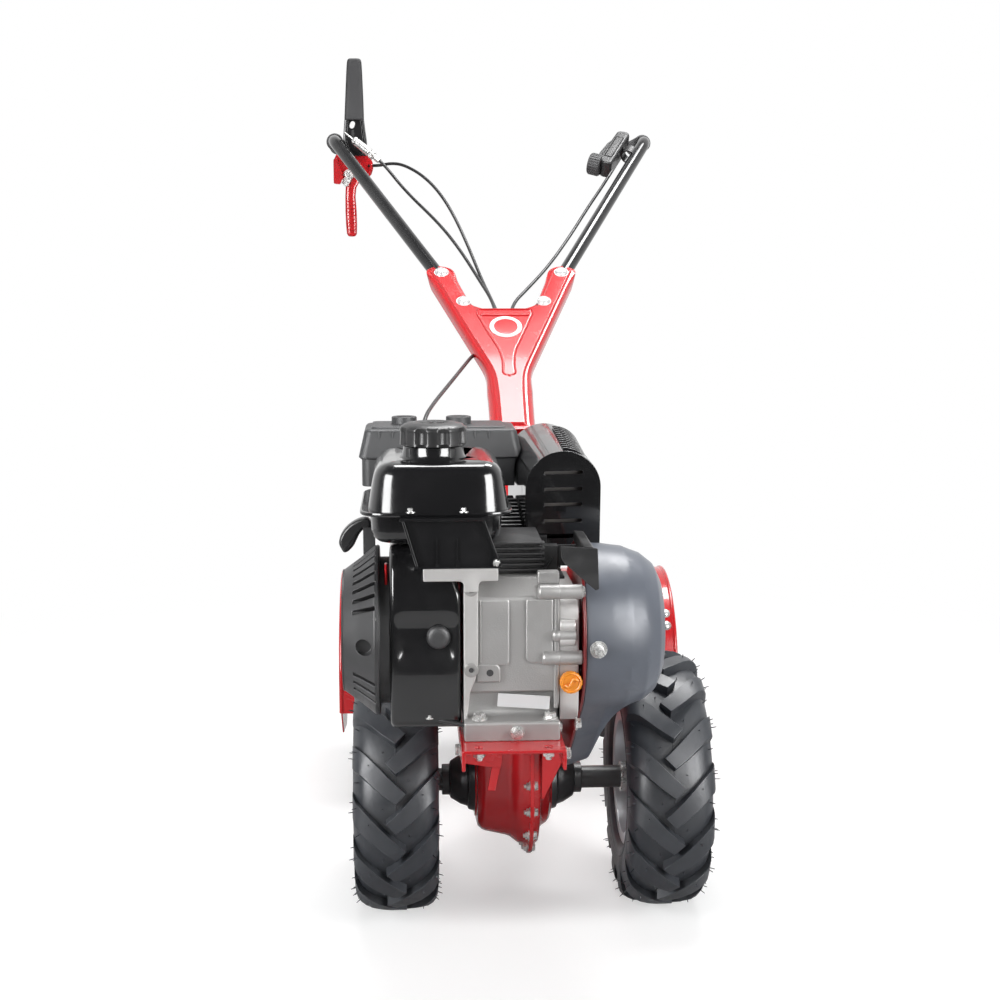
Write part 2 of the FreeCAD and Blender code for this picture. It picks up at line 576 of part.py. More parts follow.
def build_fan_side():
    """Fan housing, recoil starter and its pull grip."""
    owner = body("shroud", "0 - shroud_left", "shaft_y", "shaft_z")
    deep, tall = "shroud_half_depth", "shroud_half_height"
    corners = [(f"0 - {deep}", f"20 - {tall}"), (f"16 - {deep}", f"0 - {tall}"),
               (f"{deep} - 20", f"0 - {tall}"), (deep, f"20 - {tall}"),
               (deep, f"{tall} - 14"), (f"{deep} - 20", f"{tall} + 12"),
               (f"12 - {deep}", f"{tall} + 12"), (f"0 - {deep}", f"{tall} + 5")]
    pad(owner, sketch(owner, "YZ_Plane", corners), "shroud_left - shroud_right")
    node(owner, "fan_shroud")
    # the starter's own X runs outwards, towards the machine's left
    turn = Rotation(Vector(0, 0, 1), 180)
    gap = "starter_neck_gap"
    bowl = [("0", "0"), ("0", "starter_neck_radius"), (gap, "starter_neck_radius"),
            (gap, "starter_radius"), (f"{gap} + 5", "starter_radius"),
            ("starter_outer - shroud_left - 18", "starter_mid_radius"),
            ("starter_outer - shroud_left", "starter_face_radius"),
            ("starter_outer - shroud_left", "0")]
    bowl = turned("recoil_bowl", bowl, "0 - shroud_left", "shaft_y", "shaft_z", turn)
    rope_height = "shaft_z + starter_radius + pull_grip_radius + 1"
    guide = block("rope_guide", ("0 - rope_guide_left", "rope_guide_width - rope_guide_left"),
                  ("shaft_y + grip_forward - 9", "shaft_y + grip_forward + 9"),
                  ("shaft_z + starter_face_radius * 0.8", rope_height))
    whole = fuse("recoil_whole", [bowl, guide])
    node(cut("recoil_slotted", whole, make_air_slots()), "recoil_starter")
    build_pull_grip()


def make_air_slots():
    """Air slots round the starter's rim, above and below a plain band with one round hole."""
    left, right = -size("starter_outer") + 11, -size("shroud_left") - size("starter_neck_gap") - 4
    inner = size("starter_mid_radius") - 7
    angles = [27 + 9 * i for i in range(8)] + [-26 - 9 * i for i in range(3)]
    angles += [180 - angle for angle in angles]
    bars = []
    for angle in angles:
        bar = Part.makeBox(right - left, 30, 4.6, Vector(left, inner, -2.3))
        bar.rotate(Vector(), Vector(1, 0, 0), 180 - angle)
        bars.append(bar)
    hole = Part.makeCylinder(9, 30, Vector((left + right) / 2, -inner, 0), Vector(0, -1, 0))
    slots = Part.makeCompound(bars + [hole])
    obj = doc.addObject("Part::Feature", "air_slots")
    obj.Shape = slots
    return place(obj, "0", "shaft_y", "shaft_z")


def build_pull_grip():
    """Hooked grip that sits on the rope guide."""
    thick = size("pull_grip_radius") * 1.5
    x = -size("rope_guide_left")
    y = -size("shaft_forward") + size("grip_forward") - thick / 2
    z = (size("engine_base_height") + size("shaft_height") + size("starter_radius")
         + size("pull_grip_radius") + 1)
    # outline as (outwards, up) from the guide's outer top corner
    outline = ((8, -6), (14, -20), (20, -29), (24, -30), (31, -19), (26, -6), (19, 2), (11, 8),
               (1, 11.5), (-6, 10), (-8, 0), (0, 0))
    points = [Vector(x - out, y, z + up) for out, up in outline]
    grip = Part.Face(Part.makePolygon(points + points[:1])).extrude(Vector(0, thick, 0))
    feature("pull_grip", grip)


def build_fuel_tank():
    """Two-shell tank with a seam lip, filler neck, cap and the stand under it."""
    left, right = "0 - tank_left", "0 - tank_right"
    front, rear = "0 - tank_front", "0 - tank_rear"
    seam = "tank_seam_height"
    upper = frustum("tank_upper", (f"{left} + 5", right), (front, rear),
                    (seam, f"{seam} + tank_height"), "tank_taper", "tank_taper * 0.6")
    inset = "tank_belly_inset"
    belly = block("tank_belly", (f"{left} + {inset}", f"{right} - {inset}"),
                  ("support_plate - support_front + 1", f"{rear} - {inset}"),
                  (f"{seam} - tank_belly_depth", seam))
    lip = "tank_seam_lip"
    rim = block("tank_rim", (f"{left} - {lip}", f"{right} + {lip}"),
                (f"{front} - {lip}", f"{rear} + {lip}"),
                (f"{seam} - tank_seam_thickness / 2", f"{seam} + tank_seam_thickness / 2"))
    upper = rounded("tank_upper_round", upper, size("tank_round"), upright)
    upper = rounded("tank_upper_top", upper, size("tank_round") * 0.6, top_edges(upper))
    belly = rounded("tank_belly_round", belly, size("tank_round"), upright)
    neck = rod("tank_neck", "neck_radius", "neck_height + 1", "0 - cap_gap_left",
               "0 - cap_forward", f"{seam} + tank_height - 1")
    node(fuse("tank_whole", [upper, belly, rim, neck]), "fuel_tank")
    cap = [("0", "0"), ("0", "cap_radius - 1"), ("2", "cap_radius"),
           ("cap_height * 0.62", "cap_radius"), ("cap_height - 3", "cap_radius - 5"),
           ("cap_height", "cap_radius - 14"), ("cap_height", "0")]
    turned_node("fuel_cap", cap, "0 - cap_gap_left", "0 - cap_forward",
             f"{seam} + tank_height + neck_height", Rotation(Vector(0, 1, 0), -90))
    owner = body("tank_stand_body", "0", "0 - support_front", "0")
    shelf = "engine_base_height + crankcase_height + shelf_height"
    top = f"{seam} - tank_seam_thickness / 2"
    corners = [("0 - support_bottom_left", shelf), ("0 - support_bottom_right", shelf),
               ("0 - support_top_right", top), ("0 - support_top_left", top)]
    pad(owner, sketch(owner, "XZ_Plane", corners), "support_plate", True)
    saddle = block("tank_saddle", ("1 - shroud_right", "0 - support_bottom_right"),
                   ("0 - support_front", "support_depth - support_front"),
                   (shelf, f"{seam} - tank_belly_depth"))
    node(fuse("tank_stand_whole", [owner, saddle]), "tank_stand")


def build_air_cleaner():
    """Flat rectangular air cleaner on the carburettor, with two cover knobs."""
    left, right = "0 - cleaner_left", "0 - cleaner_right"
    front, rear = "cleaner_front", "cleaner_rear"
    tray = block("cleaner_tray", (f"{left} + 4", f"{right} - 4"), (f"{front} + 4", f"{rear} - 4"),
                 ("cleaner_bottom", "cleaner_seam"))
    tray = rounded("cleaner_tray_round", tray, size("cleaner_round"), upright)
    node(cut("cleaner_tray_fitted", tray, shield_room("tray_relief")), "air_cleaner_base")
    lid = frustum("cleaner_lid", (left, right), (front, rear), ("cleaner_seam", "cleaner_top"),
                  "cleaner_taper", "cleaner_taper")
    lid = rounded("cleaner_lid_round", lid, size("cleaner_round"), upright)
    lid = rounded("cleaner_lid_top", lid, size("cleaner_round") * 0.6, top_edges(lid))
    knobs = [rod(f"cleaner_knob_{name}", "knob_radius", "knob_height + 2", f"0 - knob_{name}",
                 "(cleaner_front + cleaner_rear) / 2", "cleaner_top - 2")
             for name in ("left", "right")]
    lid = fuse("cleaner_lid_whole", [lid] + knobs)
    node(cut("cleaner_lid_fitted", lid, shield_room("lid_relief")), "air_cleaner_cover")
    middle = "(crankcase_right - crankcase_left) / 2 - barrel_width / 2 - fin_reach"
    throat = block("carburettor_block", (f"{middle} - carburettor_width", middle),
                   ("cleaner_front - 34", "cleaner_front - 34 + carburettor_depth"),
                   ("cleaner_bottom - 62", "cleaner_bottom"))
    node(rounded("carburettor_round", throat, 8, upright), "carburettor")


def tunnel(radius, tall, deep, start, low=0.0):
    """An arch-topped prism that runs along Y from start."""
    corners = [Vector(-radius, start, low), Vector(radius, start, low),
               Vector(radius, start, tall - radius), Vector(-radius, start, tall - radius)]
    edges = [Part.LineSegment(corners[i], corners[(i + 1) % 4]).toShape() for i in (3, 0, 1)]
    crown = Part.Arc(corners[2], Vector(0, start, tall), corners[3]).toShape()
    return Part.Face(Part.Wire(edges + [crown])).extrude(Vector(0, deep, 0))


def shield_place():
    """Where the heat shield's front, middle, lower edge sits, and its tilt."""
    tilt = Rotation(Vector(1, 0, 0), size("shield_tilt")).multiply(
        Rotation(Vector(0, 0, 1), size("shield_turn")))
    middle = size("shield_width") / 2 - size("shield_left")
    return Placement(Vector(middle, -size("shield_front"), size("engine_base_height") + size("shield_rise")), tilt)


def shield_room(name):
    """The space that the engine's other pieces leave free round the heat shield."""
    room = size("shield_clearance")
    shape = tunnel(size("shield_width") / 2 + room, size("shield_height") + room,
                   size("shield_length") + 2 * room, -room, -room)
    obj = doc.addObject("Part::Feature", name)
    obj.Shape = shape
    shift = Placement(Vector(0, -origin_shift(), 0), Rotation())
    obj.Placement = shift.multiply(shield_place())
    return obj


def make_louvres(half, height, length):
    """Slots in the heat shield: rows in its front wall and a run along its outer shoulder."""
    rows = [Part.makeBox(size("shield_width") * 0.5, 3 * size("shield_wall"), 4,
                         Vector(-0.5 * half, -size("shield_wall"), height * part))
            for part in (0.1, 0.26, 0.43, 0.59, 0.76)]
    count = 12
    pitch = (length - 30) / count
    bars = [Part.makeBox(half * 0.5, 4.5, half, Vector(half * 0.34, 18 + i * pitch, height - half))
            for i in range(count)]
    return Part.makeCompound(rows + bars)


def build_muffler():
    """Muffler box under an arched heat shield, with the stay below it."""
    half = size("shield_width") / 2
    height, length, wall = size("shield_height"), size("shield_length"), size("shield_wall")
    shell = tunnel(half, height, length, 0).cut(tunnel(half - wall, height - wall, length, wall))
    shell = shell.cut(make_louvres(half, height, length))
    gap, room = size("muffler_gap"), size("shield_clearance")
    core = tunnel(half - gap, height - gap, length - 2 * gap, gap + wall)
    flange = Part.makeBox(26, 40, room + gap, Vector(wall - half, gap + wall + 12, -room))
    pads = [Part.makeCylinder(size("muffler_pad_radius"), 2 * (half - wall),
                              Vector(wall - half, length * part, height * 0.4), Vector(1, 0, 0))
            for part in (0.25, 0.75)]
    core = core.multiFuse([flange] + pads).removeSplitter()
    feature("heat_shield", shell, shield_place())
    feature("muffler", core, shield_place())
    drop = size("stay_drop")
    front, low = -size("shield_front") + 6, size("engine_base_height") + size("shield_rise") - 1
    right = size("shield_width") - size("shield_left")
    left = size("crankcase_right")
    corners = [(left, low), (right, low), (right, low - drop * 0.3),
               (right - 18, low - drop * 0.5), (right - 46, low - drop * 0.4),
               (left + 14, low - drop), (left, low - drop)]
    points = [Vector(x, front, z) for x, z in corners]
    plate = Part.Face(Part.makePolygon(points + points[:1])).extrude(Vector(0, 5, 0))
    feature("muffler_stay", plate)


def build_small_engine_parts():
    """Dipstick cap and drain plug on the crankcase front."""
    cap = [("0", "0"), ("0", "dipstick_radius * 0.6"), ("3", "dipstick_radius * 0.6"),
           ("3", "dipstick_radius"), ("11", "dipstick_radius"), ("14", "dipstick_radius - 3"),
           ("14", "0")]
    facing = Rotation(Vector(0, 0, 1), -90)
    turned_node("oil_dipstick", cap, "crankcase_right + dipstick_radius", "0 - crankcase_front + 4",
             "engine_base_height + 63", facing)
    plug = [("0", "0"), ("0", "drain_radius + 2"), ("2", "drain_radius + 2"),
            ("2", "drain_radius"), ("9", "drain_radius"), ("9", "0")]
    turned_node("drain_plug", plug, "(crankcase_right - crankcase_left) / 2 + 5",
             "0 - crankcase_front", "engine_base_height + foot_height / 2 + 2", facing)


# ---------------------------------------------------------------- belt drive

def hull_wire(x, near, near_radius, far, far_radius):
    """The outline of two circles joined by their outer tangents, in a plane of constant X."""
    span = far - near
    lean = math.atan2(span.z, span.y)
    open_angle = math.acos((near_radius - far_radius) / span.Length)

    def rim(centre, radius, angle):
        """A point of a circle at an angle measured from the line of centres."""
        turn = lean + angle
        return Vector(x, centre.y + radius * math.cos(turn), centre.z + radius * math.sin(turn))

    near_top, near_low = (rim(near, near_radius, s * open_angle) for s in (1, -1))
    far_top, far_low = (rim(far, far_radius, s * open_angle) for s in (1, -1))
    edges = [Part.Arc(near_top, rim(near, near_radius, math.pi), near_low),
             Part.LineSegment(near_low, far_low),
             Part.Arc(far_low, rim(far, far_radius, 0), far_top),
             Part.LineSegment(far_top, near_top)]
    return Part.Wire([edge.toShape() for edge in edges])


def build_belt_drive():
    """Back plate and domed cover round the engine pulley and the gear case pulley."""
    engine = Vector(0, -size("shaft_forward"), size("engine_base_height") + size("shaft_height"))
    case = Vector(0, -size("case_pulley_forward"), size("case_pulley_height"))
    big, small = size("engine_pulley_cover_radius"), size("case_pulley_cover_radius")
    left, thick = size("belt_plane_left"), size("belt_plate_thickness")
    plate = Part.Face(hull_wire(left - thick, engine, big + 2, case, small + 2))
    feature("belt_backplate", plate.extrude(Vector(thick, 0, 0)))
    depth = size("belt_cover_depth")
    lift = (engine - case).normalize()
    steps = ((0, 0, 0, 0), (0.3, 1, 6, 8), (0.54, 4, 38, 48), (0.76, 12, 50, 112),
             (0.92, 24, 58, 128), (1, 40, 64, 136))
    sections = [hull_wire(left + depth * out, engine, big - drawn_in, case + lift * along,
                          small - tail_in) for out, drawn_in, tail_in, along in steps]
    feature("belt_cover", Part.makeLoft(sections, True, True))


# ---------------------------------------------------------------- tiller behind

def build_tiller():
    """Drive housing, centre case, hood, tine rotor and the depth spur it parks on."""
    rod_length = "housing_rear - case_radius * 0.85"
    housing = rod("housing_tube", "housing_radius", rod_length, "0", "case_radius * 0.85",
                  "axle_height", TOWARDS_REAR)
    collar = rod("housing_collar", "housing_radius + 12", "14", "0", "case_radius + case_rim + 1",
                 "axle_height", TOWARDS_REAR)
    shells = [n for n in nodes if n.Label.startswith("gear_case")]
    trimmed = cut("housing_trimmed", fuse("housing_whole", [housing, collar]),
                  fuse("case_shells", shells))
    node(trimmed, "drive_housing")

    width = "tiller_case_width / 2"
    drum = rod("tiller_drum", "tiller_case_radius", "tiller_case_width", f"0 - {width}",
               "rotor_rear", "rotor_height", ALONG_X)
    nose = block("tiller_nose", (f"0 - {width}", width), ("housing_rear", "rotor_rear"),
                 ("axle_height - housing_radius - 4", "axle_height + housing_radius + 14"))
    post = block("tiller_post", (f"4 - {width}", f"{width} - 4"),
                 ("rotor_rear - 26", "rotor_rear + 26"),
                 ("rotor_height", "rotor_height + hood_radius"))
    inside = rod("hood_inside", "hood_radius - hood_wall - running_gap", "hood_width",
                 "0 - hood_width / 2", "rotor_rear", "rotor_height", ALONG_X)
    fitted = doc.addObject("Part::Common", "tiller_post_fitted")
    fitted.Base = post
    fitted.Tool = inside
    bore = rod("tiller_bore", "rotor_shaft_radius + running_gap", "tiller_case_width + 2",
               f"0 - {width} - 1", "rotor_rear", "rotor_height", ALONG_X)
    node(cut("tiller_case_bored", fuse("tiller_case_whole", [drum, nose, fitted]), bore),
         "tiller_case")
    build_hood()
    build_rotor()
    build_spur()


def build_hood():
    """Half-round hood with closed ends, open below, and notched for the drive housing."""
    radius, wall, width = size("hood_radius"), size("hood_wall"), size("hood_width")
    y, z = size("rotor_rear"), size("rotor_height")
    skirt = size("hood_skirt")
    axis = Vector(1, 0, 0)
    drum = Part.makeCylinder(radius, width, Vector(-width / 2, y, z), axis)
    corner = Vector(-width / 2, y - radius, z - skirt)
    drum = drum.fuse(Part.makeBox(width, 2 * radius, skirt, corner))
    inside, end = radius - wall, wall - width / 2
    hollow = Part.makeCylinder(inside, width - 2 * wall, Vector(end, y, z), axis)
    corner = Vector(end, y - inside, z - skirt - radius)
    hollow = hollow.fuse(Part.makeBox(width - 2 * wall, 2 * inside, skirt + radius, corner))
    corner = Vector(-width, y - 2 * radius, z - skirt - radius)
    hood = drum.cut(hollow).cut(Part.makeBox(2 * width, 4 * radius, radius, corner))
    notch = size("housing_radius") + 16
    corner = Vector(-notch, y - 1.5 * radius, z - skirt)
    slot = Part.makeBox(2 * notch, radius, notch + skirt, corner)
    feature("tiller_hood", hood.cut(slot).removeSplitter())
    drop = size("skirt_point")
    for side, sign in (("left", -1), ("right", 1)):
        x = sign * (width / 2 - wall) - (wall if sign < 0 else 0)
        corners = [(y - radius, z - skirt), (y + radius, z - skirt),
                   (y + radius * 0.7, z - skirt - drop * 0.4), (y, z - skirt - drop),
                   (y - radius * 0.7, z - skirt - drop * 0.7)]
        points = [Vector(x, a, b) for a, b in corners]
        plate = Part.Face(Part.makePolygon(points + points[:1])).extrude(Vector(wall, 0, 0))
        feature(f"hood_skirt_{side}", plate)


def build_rotor():
    """Rotor shaft through the case and two halves of tines."""
    rod_half = "rotor_inner + rotor_half_length"
    node(rod("rotor_axle", "rotor_shaft_radius", f"2 * ({rod_half})", f"0 - ({rod_half})",
             "rotor_rear", "rotor_height", ALONG_X), "rotor_shaft")
    y, z = size("rotor_rear"), size("rotor_height")
    bore, disc = size("rotor_shaft_radius"), size("flange_radius")
    flange = size("flange_thickness")
    pitch = (size("rotor_half_length") - flange) / 2
    tine = make_tine()
    for side, sign in (("left", -1), ("right", 1)):
        solids = [Part.makeCylinder(bore + 6, size("rotor_half_length"),
                                    Vector(sign * size("rotor_inner"), y, z), Vector(sign, 0, 0))]
        for row in range(3):
            start = size("rotor_inner") + row * pitch
            solids.append(Part.makeCylinder(disc, flange, Vector(sign * start, y, z),
                                            Vector(sign, 0, 0)))
            for step in range(4):
                outward = 1 if row == 0 or (step + row) % 2 == 0 and row < 2 else -1
                solids.append(placed_tine(tine, sign, start, flange, outward,
                                          step * 90 + row * 30 + 15))
        whole = solids[0].multiFuse(solids[1:])
        whole = whole.cut(Part.makeCylinder(bore, 2 * size("rotor_half_length") * 2,
                                            Vector(-2 * size("rotor_half_length"), y, z),
                                            Vector(1, 0, 0)))
        feature(f"tine_rotor_{side}", whole.removeSplitter())


def make_tine():
    """One tine on the centre plane: a swept-back shank on its flange, bent sideways at its foot."""
    thick, blade, foot = size("tine_thickness"), size("tine_width"), size("tine_foot")
    bend, sweep, reach = size("tine_bend"), size("tine_sweep"), size("rotor_radius") - 2
    root = size("rotor_shaft_radius") + 8
    low, level = reach - thick - bend, Vector(0, 1, 0)
    # seen along the tine's travel: up the shank, round the bend, out along the foot
    centre = Vector(thick + bend, 0, low)
    corners = [Vector(0, 0, root), Vector(0, 0, low), Vector(thick + bend, 0, reach),
               Vector(foot, 0, reach), Vector(foot, 0, reach - thick),
               Vector(thick + bend, 0, reach - thick), Vector(thick, 0, low),
               Vector(thick, 0, root)]
    slant = Vector(-math.sqrt(0.5), 0, math.sqrt(0.5))
    edges = [Part.LineSegment(corners[i], corners[(i + 1) % 8]).toShape() for i in (0, 2, 3, 4, 6, 7)]
    edges.insert(1, Part.Arc(corners[1], centre + slant * (bend + thick), corners[2]).toShape())
    edges.insert(5, Part.Arc(corners[5], centre + slant * bend, corners[6]).toShape())
    section = Part.Face(Part.Wire(Part.__sortEdges__(edges)))
    section = section.extrude(level * 3 * blade).translated(level * -1.5 * blade)
    # seen along the rotor: two arcs that sweep back towards the foot
    half, knee = blade / 2, (root + reach) / 2
    rear = [Vector(-1, half, root - 1), Vector(-1, half + sweep * 0.15, knee),
            Vector(-1, half - sweep, reach + 1)]
    front = [Vector(-1, -half - sweep, reach + 1), Vector(-1, sweep * 0.15 - half, knee),
             Vector(-1, -half, root - 1)]
    edges = [Part.Arc(*rear), Part.LineSegment(rear[2], front[0]), Part.Arc(*front),
             Part.LineSegment(front[2], rear[0])]
    outline = Part.Face(Part.Wire([edge.toShape() for edge in edges]))
    return section.common(outline.extrude(Vector(foot + 2, 0, 0)))


def placed_tine(tine, sign, start, flange, outward, angle):
    """A tine put on one face of its flange, turned round the rotor."""
    thick = size("tine_thickness")
    if outward < 0:
        tine = tine.mirror(Vector(thick / 2, 0, 0), Vector(1, 0, 0))
    tine = tine.translated(Vector(start + flange if outward > 0 else start - thick, 0, 0))
    if sign < 0:
        tine = tine.mirror(Vector(), Vector(1, 0, 0))
    tine.rotate(Vector(), Vector(1, 0, 0), angle)
    tine.translate(Vector(0, size("rotor_rear"), size("rotor_height")))
    return tine


def build_spur():
    """Depth bar behind the hood, in a bracket bolted to the hood's back."""
    half = "spur_width / 2"
    back = "rotor_rear + hood_radius"
    bar = block("spur_bar", ("0 - spur_thickness / 2", "spur_thickness / 2"),
                (f"spur_rear - {half}", f"spur_rear + {half}"), ("8", "spur_height + 60"))
    foot = block("spur_foot", ("-22", "22"), ("spur_rear - spur_foot_length / 2",
                                              "spur_rear + spur_foot_length / 2"), ("0", "8"))
    holes = [rod(f"spur_hole_{i}", "spur_hole_radius", "3 * spur_thickness",
                 "0 - 1.5 * spur_thickness", "spur_rear",
                 f"spur_height + 46 - {i} * spur_hole_pitch", ALONG_X) for i in range(4)]
    node(cut("spur_drilled", fuse("spur_whole", [bar, foot]), fuse("spur_holes", holes)),
         "depth_spur")
    z = "rotor_height"
    web = block("spur_web", ("-30", "30"), (back, f"{back} + 5"), (f"{z} - 36", f"{z} + 60"))
    bar = "spur_thickness / 2"
    cheeks = [block(f"spur_cheek_{i}", faces, (back, f"spur_rear + {half} + 8"),
                    (f"{z} - 20", f"{z} + 60"))
              for i, faces in enumerate(((f"0 - {bar} - 5", f"0 - {bar}"), (bar, f"{bar} + 5")))]
    node(fuse("spur_bracket_whole", [web] + cheeks), "spur_bracket")


# ---------------------------------------------------------------- steering column

def in_column(x, reach, depth=0.0):
    """A machine frame point from the column's own axes: across, along its slope, below it."""
    tilt = math.radians(size("column_tilt"))
    return Vector(x, size("column_rear") + reach * math.cos(tilt) + depth * math.sin(tilt),
                  size("column_height") + reach * math.sin(tilt) - depth * math.cos(tilt))


def build_column():
    """Y-shaped pressed column, the leg that carries it and the yoke it pivots in."""
    tilt = Rotation(Vector(1, 0, 0), size("column_tilt"))
    half, arm = size("column_half_width"), size("arm_reach")
    right = [(half, -size("tail_reach")), (half + 1, size("neck_reach")),
             (half + 22, size("neck_reach") + 70), (size("arm_outer"), arm - 8),
             ((size("arm_outer") + size("arm_inner")) / 2, arm + 4), (size("arm_inner"), arm - 4),
             (size("web_half_width"), size("web_reach"))]
    corners = right + [(-x, u) for x, u in reversed(right)]
    points = [Vector(x, u, 0) for x, u in corners]
    outline = Part.Wire(Part.makePolygon(points + points[:1]))
    face = Part.Face(outline)
    depth, wall = size("column_depth"), size("column_wall")
    inner = face.makeOffset2D(-wall)
    tray = face.extrude(Vector(0, 0, -depth))
    tray = tray.cut(inner.extrude(Vector(0, 0, wall - depth)).translated(Vector(0, 0, -wall)))
    open_end = Part.makeBox(2 * half - 2 * wall, 4 * wall, depth - wall,
                            Vector(wall - half, -size("tail_reach") - 2 * wall, -depth))
    entry = Part.makeBox(2 * half - 2 * wall, 4 * wall, depth - wall,
                         Vector(wall - half, size("web_reach") - 2 * wall, -depth))
    for sign in (-1, 1):
        mouth = Part.makeCylinder(size("tube_diameter") / 2 + size("running_gap"),
                                  arm + 60 - size("tube_start_reach"))
        splay = sign * size("tube_splay")
        mouth.rotate(Vector(), Vector(1, 0, 0), -90)
        mouth.rotate(Vector(), Vector(0, 0, 1), -splay)
        start = size("tube_start_reach") - 2
        across = (start - size("tube_bolt_reach")) * math.tan(math.radians(size("tube_splay")))
        drop = wall + size("running_gap") + size("tube_diameter") / 2
        mouth.translate(Vector(sign * (size("tube_bolt_side") + across), start, -drop))
        tray = tray.cut(mouth)
    tray = tray.cut(open_end).cut(entry)
    place_tray = Placement(Vector(0, size("column_rear"), size("column_height")), tilt)
    feature("handle_column", tray, place_tray)

    foot_y, foot_z = size("pivot_rear"), size("pivot_height")
    top = [in_column(0, 4, depth), in_column(0, 70, depth)]
    side = [Vector(0, foot_y - 20, foot_z + 6), top[0], top[1], Vector(0, foot_y + 24, foot_z - 8),
            Vector(0, foot_y + 12, foot_z - 22), Vector(0, foot_y - 12, foot_z - 22)]
    width = 2 * half
    leg = Part.Face(Part.makePolygon(side + side[:1])).extrude(Vector(width, 0, 0))
    leg.translate(Vector(-width / 2, 0, 0))
    clear = size("pivot_radius") + size("running_gap")
    leg = leg.cut(Part.makeCylinder(clear, 2 * width, Vector(-width, foot_y, foot_z),
                                    Vector(1, 0, 0)))
    feature("column_leg", leg)

    gap, plate = size("running_gap") + 0.4, size("yoke_plate")
    case_rear, top_z = size("case_radius") + size("case_rim"), size("engine_base_height") - 14
    cheek = [(case_rear, top_z - 70), (foot_y - 10, foot_z - 44), (foot_y + 24, foot_z - 16),
             (foot_y + 24, foot_z + 14), (foot_y - 14, foot_z + 24), (case_rear, top_z)]
    solids = [Part.makeBox(width + 2 * gap + 2 * plate, 6, 70,
                           Vector(-width / 2 - gap - plate, case_rear, top_z - 70))]
    for x in (-width / 2 - gap - plate, width / 2 + gap):
        points = [Vector(x, a, b) for a, b in cheek]
        solids.append(Part.Face(Part.makePolygon(points + points[:1])).extrude(Vector(plate, 0, 0)))
    yoke = solids[0].multiFuse(solids[1:])
    bolt_length = width + 2 * gap + 2 * plate + 16
    bolt = Part.makeCylinder(size("pivot_radius"), bolt_length,
                             Vector(-bolt_length / 2, foot_y, foot_z), Vector(1, 0, 0))
    shells = Part.makeCompound([n.Shape.translated(Vector(0, origin_shift(), 0)) for n in nodes
                                if n.Label.startswith("gear_case")])
    feature("column_yoke", yoke.cut(bolt).cut(shells))
    feature("pivot_bolt", bolt)


def handle_points(sign):
    """Start, bend and end of one handlebar's centre line."""
    drop = size("column_wall") + size("running_gap") + size("tube_diameter") / 2
    slope = math.tan(math.radians(size("tube_splay")))

    def on_tube(reach):
        """A point of the straight part at a reach along the column's slope."""
        x = size("tube_bolt_side") + slope * (reach - size("tube_bolt_reach"))
        return in_column(sign * x, reach, drop)

    bend = on_tube(size("bend_reach"))
    return on_tube(size("tube_start_reach")), bend, bend + Vector(0, size("grip_run"), 0)


def round_path(points, radii):
    """Straight runs joined by tangent arcs, one radius for each inner point."""
    edges, last = [], points[0]
    for before, corner, after, radius in zip(points, points[1:], points[2:], radii):
        a, b = (before - corner).normalize(), (after - corner).normalize()
        half = a.getAngle(b) / 2
        cut_back = radius / math.tan(half)
        start, end = corner + a * cut_back, corner + b * cut_back
        middle = corner + (a + b).normalize() * (radius / math.sin(half) - radius)
        edges.append(Part.LineSegment(last, start).toShape())
        edges.append(Part.Arc(start, middle, end).toShape())
        last = end
    edges.append(Part.LineSegment(last, points[-1]).toShape())
    return Part.Wire(edges)


def tube_along(path, radius):
    """Sweep a disc along a path of runs and arcs."""
    start = path.OrderedVertexes[0].Point
    first = path.OrderedEdges[0]
    direction = first.tangentAt(first.FirstParameter)
    if (first.valueAt(first.FirstParameter) - start).Length > 1e-6:
        direction = first.tangentAt(first.LastParameter) * -1
    ring = Part.Wire(Part.makeCircle(radius, start, direction))
    return path.makePipeShell([ring], True, False)


def build_handlebars():
    """Two bent tubes with rubber grips, the clutch lever, reverse lever and throttle."""
    radius = size("tube_diameter") / 2
    for side, sign in (("left", -1), ("right", 1)):
        start, bend, end = handle_points(sign)
        path = round_path([start, bend, end - Vector(0, 2, 0)], [size("bend_radius")])
        feature(f"handle_tube_{side}", tube_along(path, radius))
        length = size("grip_length")
        grip = Part.makeCylinder(size("grip_radius"), length, end - Vector(0, length, 0),
                                 Vector(0, 1, 0))
        inner = Part.makeCylinder(radius, length - 2, end - Vector(0, length, 0), Vector(0, 1, 0))
        feature(f"handle_grip_{side}", grip.cut(inner))

    build_left_controls()
    build_throttle()


def tube_frame(sign):
    """The bend of one handlebar, the direction up its straight part, its inner side and its face."""
    start, bend, end = handle_points(sign)
    along = (bend - start).normalize()
    inward = Vector(-sign, 0, 0)
    inward = (inward - along * inward.dot(along)).normalize()
    return bend, along, inward, along.cross(inward) * sign


